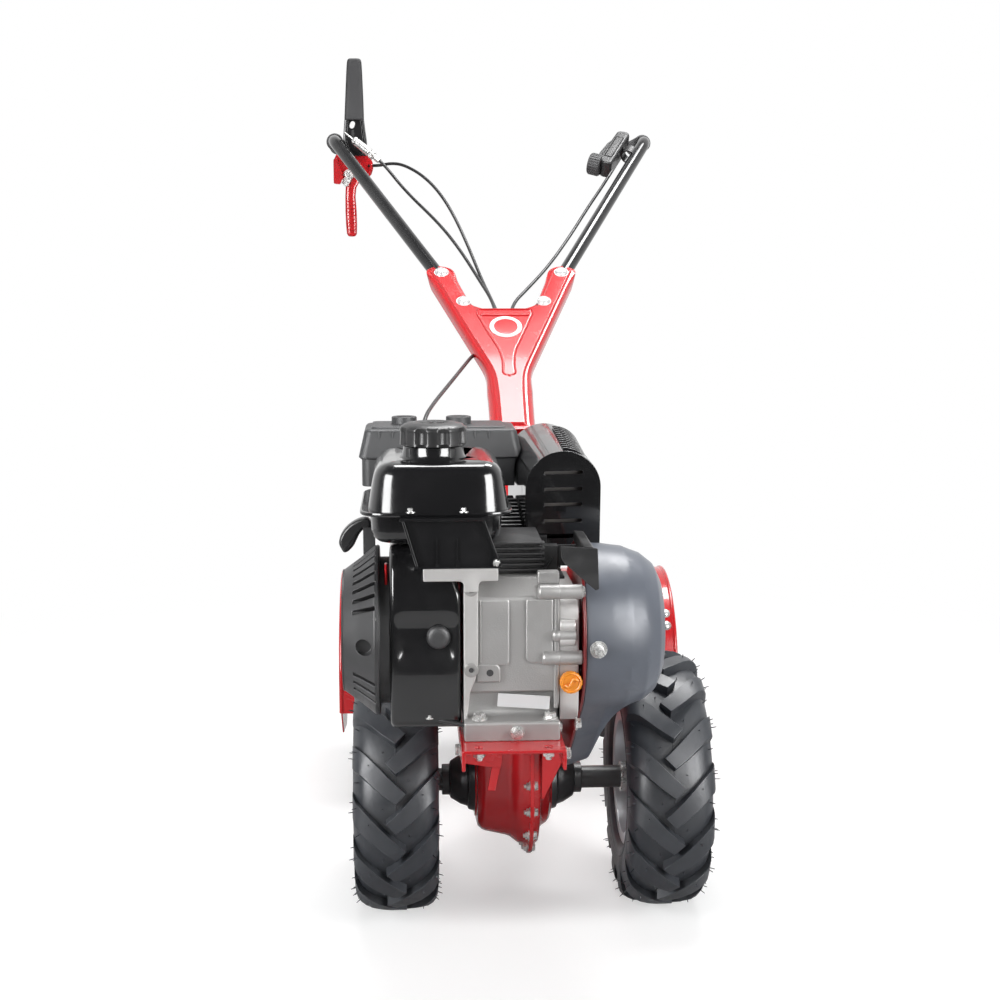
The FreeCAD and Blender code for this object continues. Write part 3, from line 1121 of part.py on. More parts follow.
def build_left_controls():
    """Lever bracket under the left grip, clutch lever, cable adjuster and reverse lever."""
    start, bend, end = handle_points(-1)
    radius, gap = size("tube_diameter") / 2, size("running_gap")
    deep, thick = size("lever_bracket_depth"), size("clutch_lever_thickness")
    y = bend.y + size("lever_bracket_setback")
    left, right = bend.x + 4, bend.x + size("lever_bracket_width")
    low = bend.z - size("lever_bracket_drop")
    ring = Part.makeCylinder(radius + 4, deep, Vector(bend.x, y, bend.z), Vector(0, 1, 0))
    corners = [(left - 13, bend.z - 10), (left - 13, low + 8), (left + 6, low), (left + 34, low),
               (right, low + 22), (right, bend.z - 6)]
    points = [Vector(a, y, c) for a, c in corners]
    plate = Part.Face(Part.makePolygon(points + points[:1])).extrude(Vector(0, deep, 0))
    path = round_path([start, bend, end], [size("bend_radius")])
    bracket = ring.fuse(plate).cut(tube_along(path, radius)).removeSplitter()

    base, tip = size("clutch_lever_base") / 2, size("clutch_lever_tip") / 2
    height = size("clutch_lever_height")
    x, z = bend.x + size("clutch_lever_across"), bend.z
    front = y - thick - gap
    corners = [(x - base + 10, z - 26), (x + base - 8, z - 26), (x + base, z), (x + tip, z + height),
               (x - tip, z + height), (x - base, z + 4)]
    points = [Vector(a, front, c) for a, c in corners]
    blade = Part.Face(Part.makePolygon(points + points[:1])).extrude(Vector(0, thick, 0))
    pin = Part.makeCylinder(size("lever_pin_radius"), thick + 2 * gap + deep + 8,
                            Vector(x, front - 4, z - 16), Vector(0, 1, 0))
    lever = blade.fuse(pin).cut(tube_along(path, radius + gap))
    lever = max(lever.Solids, key=lambda solid: solid.Volume)
    feature("lever_bracket", bracket.cut(pin))
    feature("clutch_lever", lever)

    top, foot = adjuster_ends()
    axis = (foot - top).normalize()
    barrel = Part.makeCylinder(size("adjuster_radius"), (foot - top).Length * 0.55,
                               top + axis * (foot - top).Length * 0.3, axis)
    rod_in = Part.makeCylinder(size("adjuster_radius") * 0.45, (foot - top).Length, top, axis)
    feature("cable_adjuster", barrel.fuse(rod_in).cut(lever))

    length, width = size("reverse_lever_length"), size("reverse_lever_width") / 2
    x = bend.x + size("reverse_lever_across")
    hanging = Part.makeBox(2 * width, deep, length + 12, Vector(x - width, y + deep, low - length))
    feature("reverse_lever", hanging)


def adjuster_ends():
    """Upper and lower end of the clutch cable's adjuster, in front of the lever's foot."""
    start, bend, end = handle_points(-1)
    top = Vector(bend.x + 24, bend.y + 4, bend.z + 10)
    return top, top + Vector(0.74, -0.3, -0.6).normalize() * size("adjuster_length")


def throttle_foot():
    """Where the throttle cable comes out of its control."""
    bend, along, inward, face = tube_frame(1)
    out = size("tube_diameter") / 2 + size("throttle_width") / 2
    return bend - along * (size("throttle_start") + size("throttle_length")) + inward * out


def build_throttle():
    """Throttle control on the inner side of the right handlebar, with its round thumb lever."""
    bend, along, inward, face = tube_frame(1)
    length, width, deep = (size(f"throttle_{n}") for n in ("length", "width", "depth"))
    skin = size("tube_diameter") / 2
    corner = bend - along * (size("throttle_start") + length) + inward * skin - face * deep / 2
    box = Part.makeBox(length, width, deep)
    edges = [edge for edge in box.Edges if abs(edge.Vertexes[0].Z - edge.Vertexes[-1].Z) > 1]
    box = box.makeFillet(size("throttle_round"), edges)
    box.Placement = Placement(corner, Rotation(along, inward, face, "XYZ"))
    start, bend, end = handle_points(1)
    tube = tube_along(round_path([start, bend, end], [size("bend_radius")]), skin)
    hub = throttle_foot() + along * size("throttle_knob_radius") * 0.6
    knob = Part.makeCylinder(size("throttle_knob_radius"), size("throttle_knob_width"),
                             hub + inward * width / 2, inward)
    feature("throttle_control", box.fuse(knob).removeSplitter().cut(tube))


def build_cables():
    """The control cables, from their levers to the column's tail and the carburettor."""
    deep = size("column_depth") - size("cable_diameter") / 2 - size("running_gap")

    def inside(side, last):
        """The stretch that is laid in the hollow of the column, as far down as its last spots."""
        spots = ((-3, 250), (0, 205), (1.5, 150), (1.5, 90), (0, 35), (-2, -16))[:last]
        return [in_column(side + x, u, deep) for x, u in spots]

    bracket_front = bend_y() + size("lever_bracket_setback") - size("running_gap")
    top, clutch = adjuster_ends()
    clutch_lead = clutch + (clutch - top).normalize() * size("cable_lead")
    thumb = throttle_foot()
    thumb_lead = thumb - tube_frame(1)[1] * size("cable_lead")
    rear = size("cleaner_front") - 34 + size("carburettor_depth")
    routes = {
        "clutch_cable": [clutch, clutch_lead, Vector(-18, 526, 778)] + inside(-10, 6),
        "reverse_cable": [Vector(-220, bracket_front, 1011), Vector(-220, bracket_front - 14, 1011),
                          Vector(-192, bracket_front - 24, 1017), Vector(-161, 870, 1009),
                          Vector(-131, 828, 984), Vector(-108, 796, 953), Vector(-88, 760, 915),
                          Vector(-71, 718, 877), Vector(-54, 672, 841), Vector(-34, 620, 812),
                          Vector(-8, 556, 790)] + inside(0, 6),
        "throttle_cable": [thumb, thumb_lead, Vector(18, 528, 776)] + inside(10, 2),
        "carburettor_cable": [in_column(10, 205, deep), in_column(12, 175, deep),
                              in_column(9, 148, deep + 8), in_column(-7, 130, deep + 16),
                              in_column(-32, 128, deep + 19), Vector(-62, 372, 660),
                              Vector(-92, 330, 650), Vector(-114, 275, 636),
                              Vector(-129, 215, 620), Vector(-139, 152, 599),
                              Vector(-141, 98, 572), Vector(-134, 54, 548),
                              Vector(-128, rear + 18, 542), Vector(-128, rear, 542)],
    }
    for label, points in routes.items():
        radii = largest_radii(points)
        path = round_path(points, radii)
        tube = tube_along(path, size("cable_diameter") / 2)
        print(f"{label}: length {path.Length:.0f} mm, smallest bend {min(radii):.0f} mm, volume ratio "
              f"{tube.Volume / (path.Length * math.pi * size('cable_diameter') ** 2 / 4):.4f}")
        feature(label, tube)


def largest_radii(points):
    """The largest tangent arc that each corner's two runs leave room for."""
    radii = []
    for before, corner, after in zip(points, points[1:], points[2:]):
        run = min((before - corner).Length, (after - corner).Length)
        turn = math.pi - (before - corner).getAngle(after - corner)
        radii.append(0.45 * run / math.tan(turn / 2))
    return radii


build_gear_case()
build_engine_bracket()
build_cylinder(build_crankcase())
build_fan_side()
build_fuel_tank()
build_air_cleaner()
build_muffler()
build_small_engine_parts()
build_belt_drive()
doc.recompute()
build_tiller()
build_column()
build_handlebars()
build_cables()
tyre = make_tyre()
build_wheel("left", -1, tyre)
build_wheel("right", 1, tyre)
doc.recompute()

faults = [o.Label for o in doc.Objects if {"Invalid", "Error"} & set(o.State)]
faults += [n.Label for n in nodes if n.Shape.isNull() or not n.Shape.isValid()]
if faults:
    raise RuntimeError("failed: " + ", ".join(faults))
os.makedirs("parts", exist_ok=True)
for piece in nodes:
    piece.Shape.exportStep(f"parts/{piece.Label}.step")
    span = piece.Shape.BoundBox
    print(f"{piece.Label:22s} solids {len(piece.Shape.Solids)} volume {piece.Shape.Volume / 1000:9.1f} cm3"
          f"  X {span.XMin:7.1f} {span.XMax:7.1f}  Y {span.YMin:7.1f} {span.YMax:7.1f}"
          f"  Z {span.ZMin:7.1f} {span.ZMax:7.1f}")
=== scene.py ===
"""Garden tiller: the finished pieces of a two-wheel walk-behind tiller.

Every piece takes its place and size from the CAD frame, so a change of size in
the frame carries through to the finished machine.
"""
import json
import math
import random
from functools import cache

import bmesh
import bpy
from mathutils import Matrix, Vector
from mathutils.geometry import tessellate_polygon
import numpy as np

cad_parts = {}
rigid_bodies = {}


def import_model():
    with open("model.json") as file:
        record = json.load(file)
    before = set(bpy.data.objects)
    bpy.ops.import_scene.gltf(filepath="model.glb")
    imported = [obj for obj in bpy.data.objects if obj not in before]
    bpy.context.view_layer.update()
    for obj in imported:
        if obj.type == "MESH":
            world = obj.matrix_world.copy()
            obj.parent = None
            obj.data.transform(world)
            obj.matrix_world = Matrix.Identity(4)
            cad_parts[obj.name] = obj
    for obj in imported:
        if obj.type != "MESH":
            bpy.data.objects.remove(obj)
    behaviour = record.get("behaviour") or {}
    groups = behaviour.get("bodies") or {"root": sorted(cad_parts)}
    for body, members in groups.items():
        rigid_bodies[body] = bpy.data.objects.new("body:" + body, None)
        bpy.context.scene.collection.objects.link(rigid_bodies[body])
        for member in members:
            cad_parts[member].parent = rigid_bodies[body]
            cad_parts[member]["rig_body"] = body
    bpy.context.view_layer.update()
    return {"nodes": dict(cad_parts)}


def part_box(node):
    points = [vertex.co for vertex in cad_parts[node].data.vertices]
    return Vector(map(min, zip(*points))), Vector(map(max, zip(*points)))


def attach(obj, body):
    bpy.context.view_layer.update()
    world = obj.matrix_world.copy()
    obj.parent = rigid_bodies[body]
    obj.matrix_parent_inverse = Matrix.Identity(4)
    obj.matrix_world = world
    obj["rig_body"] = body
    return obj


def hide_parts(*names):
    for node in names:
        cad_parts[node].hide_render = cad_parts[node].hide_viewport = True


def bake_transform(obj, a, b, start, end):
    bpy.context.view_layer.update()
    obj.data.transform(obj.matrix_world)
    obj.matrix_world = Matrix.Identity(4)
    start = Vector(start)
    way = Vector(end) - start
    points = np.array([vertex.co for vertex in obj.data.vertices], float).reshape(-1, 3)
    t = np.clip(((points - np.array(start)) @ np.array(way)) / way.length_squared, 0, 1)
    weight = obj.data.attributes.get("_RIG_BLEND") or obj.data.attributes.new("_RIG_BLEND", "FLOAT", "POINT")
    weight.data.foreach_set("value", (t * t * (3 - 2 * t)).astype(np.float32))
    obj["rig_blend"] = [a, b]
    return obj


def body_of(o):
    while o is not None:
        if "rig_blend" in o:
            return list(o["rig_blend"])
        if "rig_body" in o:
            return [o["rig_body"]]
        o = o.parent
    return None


bl_info = {
    "name": "Garden Tiller",
    "version": (1, 0, 0),
    "blender": (4, 5, 0),
    "location": "3D View > Sidebar > Tiller",
    "description": "Builds the finished pieces of a walk-behind garden tiller round its CAD frame",
    "category": "Object",
}

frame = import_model()

MM = 0.001
ACROSS, ALONG, UP = Vector((1, 0, 0)), Vector((0, 1, 0)), Vector((0, 0, 1))
SIDES = (("left", -1), ("right", 1))
BODIES = {node: body_of(frame["nodes"][node])[0] for node in frame["nodes"]}


def mm(across, along=0, up=0):
    """A vector given in millimetres, in metres."""
    return Vector((across, along, up)) * MM


def box_of(node):
    """A CAD node's lowest corner, highest corner and middle."""
    low, high = (Vector(corner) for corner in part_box(node))
    return low, high, (low + high) / 2


def spot(node, across, along, up):
    """A place in millimetres from the lowest corner of a CAD node's box."""
    return box_of(node)[0] + mm(across, along, up)


AXLE = box_of("left_tyre")[2]


# ------------------------------ settings

def colour_setting(name, description, default):
    """A colour that a user may change."""
    return bpy.props.FloatVectorProperty(name=name, description=description, default=default,
                                         subtype="COLOR", size=3, min=0.0, max=1.0)


def length_setting(name, description, default, largest=0.2):
    """A length in metres that a user may change."""
    return bpy.props.FloatProperty(name=name, description=description, default=default,
                                   subtype="DISTANCE", unit="LENGTH", min=0.0, max=largest)


def power_setting(name, description, default):
    """A lamp's power in watts that a user may change."""
    return bpy.props.FloatProperty(name=name, description=description, default=default,
                                   subtype="POWER", unit="POWER", min=0.0, max=500.0)


class TillerFinish(bpy.types.PropertyGroup):
    """Colours of the machine's finishes."""

    enamel: colour_setting("Enamel", "Body colour of the sheet metal", (0.56, 0.009, 0.014))
    deep_enamel: colour_setting("Deep enamel", "Colour of the belt backplate", (0.20, 0.010, 0.012))
    gloss_black: colour_setting("Gloss black", "Tank and shield", (0.010, 0.010, 0.011))
    satin_black: colour_setting("Satin black", "Moulded and steel parts", (0.030, 0.030, 0.032))
    cleaner_grey: colour_setting("Cleaner grey", "Air cleaner", (0.040, 0.041, 0.044))
    # the casting tone is kept dark as painted shade for the crankcase's recessed front; the strip, shelf and
    # cover take a lighter copy
    casting: colour_setting("Casting", "Cast aluminium of the engine", (0.36, 0.355, 0.35))
    cover_grey: colour_setting("Cover grey", "Belt cover", (0.105, 0.118, 0.145))
    rim_silver: colour_setting("Rim silver", "Wheel rims", (0.60, 0.61, 0.63))
    zinc: colour_setting("Zinc", "Bolts and plated parts", (0.66, 0.66, 0.65))
    rubber: colour_setting("Rubber", "Tyres", (0.034, 0.038, 0.046))
    grip_rubber: colour_setting("Grip rubber", "Handle grips", (0.040, 0.040, 0.042))
    orange: colour_setting("Orange", "Oil dipstick", (0.90, 0.30, 0.015))
    label: colour_setting("Label", "Blank plate and badge", (0.72, 0.73, 0.74))


class TillerEdges(bpy.types.PropertyGroup):
    """Softness of the edges."""

    sheet: length_setting("Sheet edge", "Rounding of sheet metal edges", 0.0008, 0.005)
    casting: length_setting("Casting edge", "Rounding of cast edges", 0.0016, 0.01)


class TillerTyres(bpy.types.PropertyGroup):
    """Tread of the two tyres."""

    lugs: bpy.props.IntProperty(
        name="Lugs", description="Lugs on each side of a tyre", default=14, min=6, max=30)
    lug_height: length_setting("Lug height", "How far the lugs stand above the tread", 0.012, 0.02)
    lug_overlap: length_setting("Lug overlap", "How far a lug runs past the middle", 0.0125, 0.03)
    lug_edge: length_setting("Lug edge", "Rounding of the lugs' moulded edges", 0.0009, 0.003)
    whisker: length_setting("Whisker", "Length of the whiskers on the shoulders", 0.0066, 0.012)


class TillerStage(bpy.types.PropertyGroup):
    """Studio light."""

    key: power_setting("Left lamp", "Power of the lamp on the left", 34.0)
    fill: power_setting("Right lamp", "Power of the lamp on the right", 34.0)
    top: power_setting("Top lamp", "Power of the lamp above", 36.0)
    panels: power_setting("Panels", "Power of the panels that gloss reflects", 68.0)
    surround: bpy.props.FloatProperty(
        name="Surround", description="Strength of the plain light all round", default=0.36,
        min=0.0, max=2.0)


# ------------------------------ shader effects

FLOAT, COLOUR = "NodeSocketFloat", "NodeSocketColor"
SMOOTH = {"interpolation_type": "SMOOTHSTEP"}


def add(tree, kind, settings=None, feeds=(), **values):
    """A node with its settings, its constants and its feeds, each (socket, node, output)."""
    node = tree.nodes.new(kind)
    for key, value in (settings or {}).items():
        setattr(node, key, value)
    for key, value in values.items():
        node.inputs[key.replace("_", " ")].default_value = value
    for socket, source, output in feeds:
        tree.links.new(source.outputs[output], node.inputs[socket])
    return node


def effect(name, inputs, outputs):
    """An empty shader node group with its named sockets, and its starting node."""
    group = bpy.data.node_groups.new(name, "ShaderNodeTree")
    for label, kind, default in inputs:
        socket = group.interface.new_socket(name=label, in_out="INPUT", socket_type=kind)
        socket.default_value = default
    for label, kind in outputs:
        group.interface.new_socket(name=label, in_out="OUTPUT", socket_type=kind)
    return group, group.nodes.new("NodeGroupInput")


@cache
def paint_drift():
    """Slow changes of shade over a coloured surface, with a worn or dusty tint in patches."""
    group, start = effect(
        "Paint drift",
        [("Color", COLOUR, (0.5, 0.5, 0.5, 1)), ("Tint", COLOUR, (0.6, 0.6, 0.6, 1)),
         ("Amount", FLOAT, 0.1), ("Scale", FLOAT, 9.0)],
        [("Color", COLOUR), ("Mask", FLOAT)])
    place = add(group, "ShaderNodeTexCoord")
    patches = add(group, "ShaderNodeTexNoise", None, [
        ("Vector", place, "Object"), ("Scale", start, "Scale")], Detail=4.0, Roughness=0.62)
    spread = add(group, "ShaderNodeMapRange", SMOOTH, [("Value", patches, "Fac")],
                 From_Min=0.35, From_Max=0.75)
    share = add(group, "ShaderNodeMath", {"operation": "MULTIPLY"}, [
        (0, spread, "Result"), (1, start, "Amount")])
    blend = add(group, "ShaderNodeMix", {"data_type": "RGBA"}, [
        ("Factor", share, 0), (6, start, "Color"), (7, start, "Tint")])
    add(group, "NodeGroupOutput", None, [("Color", blend, 2), ("Mask", spread, "Result")])
    return group


@cache
def skin_grain():
    """Height of a surface's skin, a broad ripple with a fine grain on it."""
    group, start = effect(
        "Skin grain",
        [("Ripple Scale", FLOAT, 60.0), ("Ripple", FLOAT, 0.5),
         ("Grain Scale", FLOAT, 900.0), ("Grain", FLOAT, 0.5)],
        [("Height", FLOAT), ("Grain", FLOAT)])
    place = add(group, "ShaderNodeTexCoord")
    heights = []
    for label, detail in (("Ripple", 1.5), ("Grain", 3.0)):
        noise = add(group, "ShaderNodeTexNoise", None, [
            ("Vector", place, "Object"), ("Scale", start, label + " Scale")],
            Detail=detail, Roughness=0.55)
        heights.append(add(group, "ShaderNodeMath", {"operation": "MULTIPLY"}, [
            (0, noise, "Fac"), (1, start, label)]))
    total = add(group, "ShaderNodeMath", {"operation": "ADD"}, [
        (0, heights[0], 0), (1, heights[1], 0)])
    add(group, "NodeGroupOutput", None, [("Height", total, 0), ("Grain", noise, "Fac")])
    return group


@cache
def handling_marks():
    """Roughness that is smooth where a surface is clean, and duller in smears where handled."""
    group, start = effect(
        "Handling marks",
        [("Clean", FLOAT, 0.15), ("Handled", FLOAT, 0.35), ("Scale", FLOAT, 14.0)],
        [("Roughness", FLOAT)])
    place = add(group, "ShaderNodeTexCoord")
    smears = add(group, "ShaderNodeTexNoise", None, [
        ("Vector", place, "Object"), ("Scale", start, "Scale")],
        Detail=5.0, Roughness=0.7, Distortion=0.6)
    spread = add(group, "ShaderNodeMapRange", SMOOTH, [
        ("Value", smears, "Fac"), ("To Min", start, "Clean"), ("To Max", start, "Handled")],
        From_Min=0.42, From_Max=0.72)
    add(group, "NodeGroupOutput", None, [("Roughness", spread, "Result")])
    return group


# ------------------------------ materials


def surface(name, colour, clean, handled, *, tint=None, drift=0.1, drift_scale=9.0,
            marks_scale=14.0, ripple=(60.0, 0.5), grain=(900.0, 0.5), relief=0.05,
            metallic=0.0, coat=0.0, coat_roughness=0.05, specular=0.5):
    """A material of one shader, fed by the shared effects with this finish's own values."""
    material = bpy.data.materials.new(name)
    material.use_nodes = True
    tree = material.node_tree
    tree.nodes.clear()
    tint = tint or [min(1.0, part * 1.5 + 0.03) for part in colour]
    shades = add(tree, "ShaderNodeGroup", {"node_tree": paint_drift()}, Color=(*colour, 1),
                 Tint=(*tint, 1), Amount=drift, Scale=drift_scale)
    marks = add(tree, "ShaderNodeGroup", {"node_tree": handling_marks()}, Clean=clean,
                Handled=handled, Scale=marks_scale)
    skin = add(tree, "ShaderNodeGroup", {"node_tree": skin_grain()}, Ripple_Scale=ripple[0],
               Ripple=ripple[1], Grain_Scale=grain[0], Grain=grain[1])
    bump = add(tree, "ShaderNodeBump", None, [("Height", skin, "Height")],
               Strength=relief, Distance=0.5 * MM)
    shader = add(tree, "ShaderNodeBsdfPrincipled", None, [
        ("Base Color", shades, "Color"), ("Roughness", marks, "Roughness"),
        ("Normal", bump, "Normal")], Metallic=metallic, Coat_Weight=coat,
        Coat_Roughness=coat_roughness, Specular_IOR_Level=specular)
    add(tree, "ShaderNodeOutputMaterial", None, [("Surface", shader, "BSDF")])
    return material


@cache
def finish(name):
    """One of the machine's materials, built the first time it is asked for."""
    tone = bpy.context.scene.tiller_finish
    # colour, roughness where clean and where handled, then what else sets the finish apart
    recipes = {
        "red_enamel": (tone.enamel, 0.22, 0.30, dict(
            drift_scale=4.0, ripple=(45.0, 1.0), grain=(500.0, 0.12), relief=0.10, coat=0.6,
            coat_roughness=0.06, specular=0.3, tint=(0.66, 0.03, 0.035))),
        "deep_enamel": (tone.deep_enamel, 0.3, 0.4, dict(coat=0.2)),
        "gloss_black": (tone.gloss_black, 0.13, 0.24, dict(
            drift=0.3, ripple=(38.0, 1.0), grain=(420.0, 0.1), relief=0.10, coat=0.5)),
        "satin_black": (tone.satin_black, 0.42, 0.55, dict(
            drift=0.3, ripple=(160.0, 0.3), grain=(1500.0, 0.8), relief=0.25)),
        "cleaner_grey": (tone.cleaner_grey, 0.46, 0.58, dict(
            drift=0.3, ripple=(160.0, 0.3), grain=(1300.0, 1.0), relief=0.35)),
        "coated_steel": (tone.satin_black, 0.30, 0.48, dict(
            drift=0.35, ripple=(70.0, 0.6), grain=(800.0, 0.5), relief=0.2)),
        "hub_grey": ((0.052, 0.052, 0.054), 0.36, 0.5, dict(
            drift=0.3, ripple=(90.0, 0.6), grain=(700.0, 0.5), relief=0.3)),
        # the darker copy of the casting: painted shade on the block's recessed front
        "casting": (tone.casting, 0.36, 0.5, dict(
            drift=0.30, drift_scale=16.0, ripple=(120.0, 0.5), grain=(620.0, 1.0), relief=0.5,
            metallic=0.3, tint=(0.36, 0.35, 0.34))),
        # a lighter copy of the same casting: painted light on the side strip, top shelf and cover, beside
        # the darker block
        "cover_casting": ((0.60, 0.59, 0.58), 0.34, 0.48, dict(
            drift=0.25, drift_scale=16.0, ripple=(110.0, 0.5), grain=(600.0, 0.8), relief=0.4,
            metallic=0.3, tint=(0.44, 0.43, 0.42))),
        # a dark copy of the casting: painted shade on the cylinder and its finned foot under the tank and
        # shroud
        "dark_casting": ((0.030, 0.030, 0.032), 0.42, 0.58, dict(
            drift=0.4, drift_scale=20.0, ripple=(120.0, 0.5), grain=(640.0, 1.0), relief=0.4,
            tint=(0.06, 0.06, 0.06))),
        "starter_black": ((0.034, 0.034, 0.036), 0.40, 0.55, dict(
            drift=0.35, ripple=(120.0, 0.4), grain=(1300.0, 0.8), relief=0.3)),
        "tube_black": ((0.012, 0.012, 0.013), 0.14, 0.2, dict(
            drift=0.3, ripple=(30.0, 0.8), grain=(300.0, 0.05), relief=0.01, coat=0.2,
            specular=0.35)),
        "bright_zinc": ((0.62, 0.62, 0.62), 0.3, 0.42, dict(
            drift=0.3, drift_scale=70.0, relief=0.03, metallic=0.15, tint=(0.5, 0.5, 0.5))),
        "sleeve_rubber": ((0.026, 0.026, 0.028), 0.5, 0.65, dict(
            drift=0.3, grain=(1500.0, 1.0), relief=0.45, specular=0.3)),
        # muffler steel darkened as painted shade inside the heat shield, so its slots read dark
        "exhaust_steel": ((0.15, 0.145, 0.14), 0.35, 0.55, dict(
            drift=0.4, drift_scale=30.0, grain=(700.0, 0.6), relief=0.2, metallic=0.8,
            tint=(0.24, 0.20, 0.17))),
        "cover_grey": (tone.cover_grey, 0.34, 0.44, dict(
            drift=0.25, drift_scale=5.0, grain=(1500.0, 0.5), relief=0.12)),
        "rim_silver": (tone.rim_silver, 0.28, 0.4, dict(drift=0.15, relief=0.1, metallic=0.7)),
        "zinc": (tone.zinc, 0.24, 0.42, dict(
            drift=0.35, drift_scale=70.0, marks_scale=90.0, grain=(900.0, 0.7), relief=0.04,
            metallic=0.7, tint=(0.42, 0.42, 0.40))),
        "rubber": (tone.rubber, 0.36, 0.56, dict(
            drift=0.35, drift_scale=30.0, ripple=(110.0, 0.6), grain=(1100.0, 0.6), relief=0.35,
            tint=(0.058, 0.062, 0.070))),
        "grip_rubber": (tone.grip_rubber, 0.55, 0.7, dict(
            drift=0.3, grain=(1600.0, 1.0), relief=0.4)),
        "sheath": ((0.014, 0.014, 0.015), 0.34, 0.46, dict(
            drift=0.2, grain=(1200.0, 0.5), relief=0.02)),
        "dark_moulding": ((0.022, 0.022, 0.023), 0.3, 0.45, dict(
            drift=0.3, grain=(1300.0, 0.6), relief=0.2)),
        "orange": (tone.orange, 0.3, 0.4, dict(drift=0.15, grain=(1200.0, 0.5), relief=0.15)),
        "label": (tone.label, 0.35, 0.45, dict(drift=0.08)),
    }
    colour, clean, handled, more = recipes[name]
    return surface(name, tuple(colour), clean, handled, **more)


# ------------------------------ shapes

def ring_strip(bm, lower, upper):
    """Faces between two closed rings of the same number of vertices."""
    count = len(lower)
    for step in range(count):
        after = (step + 1) % count
        bm.faces.new((lower[step], lower[after], upper[after], upper[step]))


def loft(rings, closed=False, bm=None):
    """A bmesh skin over closed rings of points, capped at both ends or closed on itself."""
    bm = bm or bmesh.new()
    levels = [[bm.verts.new(point) for point in ring] for ring in rings]
    for lower, upper in zip(levels, levels[1:] + (levels[:1] if closed else [])):
        ring_strip(bm, lower, upper)
    if not closed:
        bm.faces.new(reversed(levels[0]))
        bm.faces.new(levels[-1])
    bmesh.ops.recalc_face_normals(bm, faces=bm.faces)
    return bm


def sides_of(axis):
    """Two directions square to an axis, the first one as near to upright as it can be."""
    side = ALONG if abs(axis.z) > 0.9 else UP
    side = (side - axis * axis.dot(side)).normalized()
    return side, axis.cross(side)


def turned(profile, centre, axis=ACROSS, steps=96, shape=None, closed=False, bm=None):
    """A bmesh turned from (place along the axis, radius) points in millimetres.

    An open profile is closed on to the axis at both ends, and shape(radius, along, turn),
    in metres, may change a point's radius on its way round."""
    side, other = sides_of(axis)
    bm = bm or bmesh.new()
    if not closed:
        first, last = ([(along, 0)] if radius else [] for along, radius in
                       (profile[0], profile[-1]))
        profile = first + profile + last
    levels = []
    for along, radius in ((along * MM, radius * MM) for along, radius in profile):
        if not radius:
            levels.append([bm.verts.new(centre + axis * along)])
            continue
        ring = []
        for step in range(steps):
            turn = 2 * math.pi * step / steps
            reach = shape(radius, along, turn) if shape else radius
            ring.append(bm.verts.new(
                centre + axis * along + (side * math.cos(turn) + other * math.sin(turn)) * reach))
        levels.append(ring)
    for lower, upper in zip(levels, levels[1:] + (levels[:1] if closed else [])):
        if len(lower) == 1 or len(upper) == 1:
            tip, ring = (lower[0], upper) if len(lower) == 1 else (upper[0], lower)
            for step in range(steps):
                bm.faces.new((tip, ring[step], ring[(step + 1) % steps]))
        else:
            ring_strip(bm, lower, upper)
    bmesh.ops.recalc_face_normals(bm, faces=bm.faces)
    return bm


def round_corners(corners, radius, steps=6):
    """A closed outline of 2D points with its corners rounded; radius may be one for each."""
    outline = []
    count = len(corners)
    radii = radius if isinstance(radius, (list, tuple)) else [radius] * count
    for order, corner in enumerate(corners):
        corner = Vector(corner)
        before = Vector(corners[order - 1]) - corner
        after = Vector(corners[(order + 1) % count]) - corner
        reach = min(radii[order], before.length * 0.49, after.length * 0.49)
        start, end = corner + before.normalized() * reach, corner + after.normalized() * reach
        for step in range(steps + 1):
            part = step / steps
            outline.append(start * (1 - part) ** 2 + corner * 2 * part * (1 - part)
                           + end * part ** 2)
    return outline


def inset_outline(outline, amount):
    """A closed 2D outline moved inwards along its own normals."""
    if not amount:
        return outline
    count = len(outline)
    area = sum(outline[i - 1].x * outline[i].y - outline[i].x * outline[i - 1].y
               for i in range(count))
    turn = 1 if area > 0 else -1
    moved = []
    for step in range(count):
        before = (outline[step] - outline[step - 1]).normalized()
        after = (outline[(step + 1) % count] - outline[step]).normalized()
        way = before + after
        if way.length < 1e-6:
            way = before
        way.normalize()
        normal = Vector((-way.y, way.x)) * turn
        stretch = max(0.5, normal.dot(Vector((-before.y, before.x)) * turn))
        moved.append(outline[step] + normal * amount / stretch)
    return moved


def divided(outline, longest):
    """An outline with points added so that no step is longer than the longest."""
    result = []
    for step, point in enumerate(outline):
        after = outline[(step + 1) % len(outline)]
        parts = max(1, math.ceil((after - point).length / longest))
        result += [point.lerp(after, part / parts) for part in range(parts)]
    return result


def eased(value, start, end):
    """0 on the side of start, 1 on the side of end, and smooth between them."""
    part = min(1.0, max(0.0, (value - start) / (end - start)))
    return part * part * (3 - 2 * part)


def pressed(outline, levels, place, bm=None, closed=False):
    """A bmesh through insets of one outline; levels are (inset, height), place(x, y, height)."""
    return loft([[place(point.x, point.y, height) for point in inset_outline(outline, inset)]
                 for inset, height in levels], closed=closed, bm=bm)


def plates(place, *forms, bm=None):
    """A bmesh of several pressed forms, each its corners, their radius and steps, and levels."""
    bm = bm or bmesh.new()
    for corners, radius, steps, levels in forms:
        pressed(round_corners(corners, radius, steps), levels, place, bm)
    return bm


def seen_from_front(corner):
    """place(x, z, y) in millimetres across, up and backwards from a corner."""
    return lambda x, z, y: corner + mm(x, y, z)


def boxed(low, high, radius, levels, steps=6, bm=None):
    """A bmesh of a box with rounded upright edges, through (height share, inset in mm) levels."""
    corners = [(low.x, low.y), (high.x, low.y), (high.x, high.y), (low.x, high.y)]
    return pressed(round_corners(corners, radius * MM, steps),
                   [(inset * MM, low.z + (high.z - low.z) * share) for share, inset in levels],
                   lambda x, y, z: Vector((x, y, z)), bm)


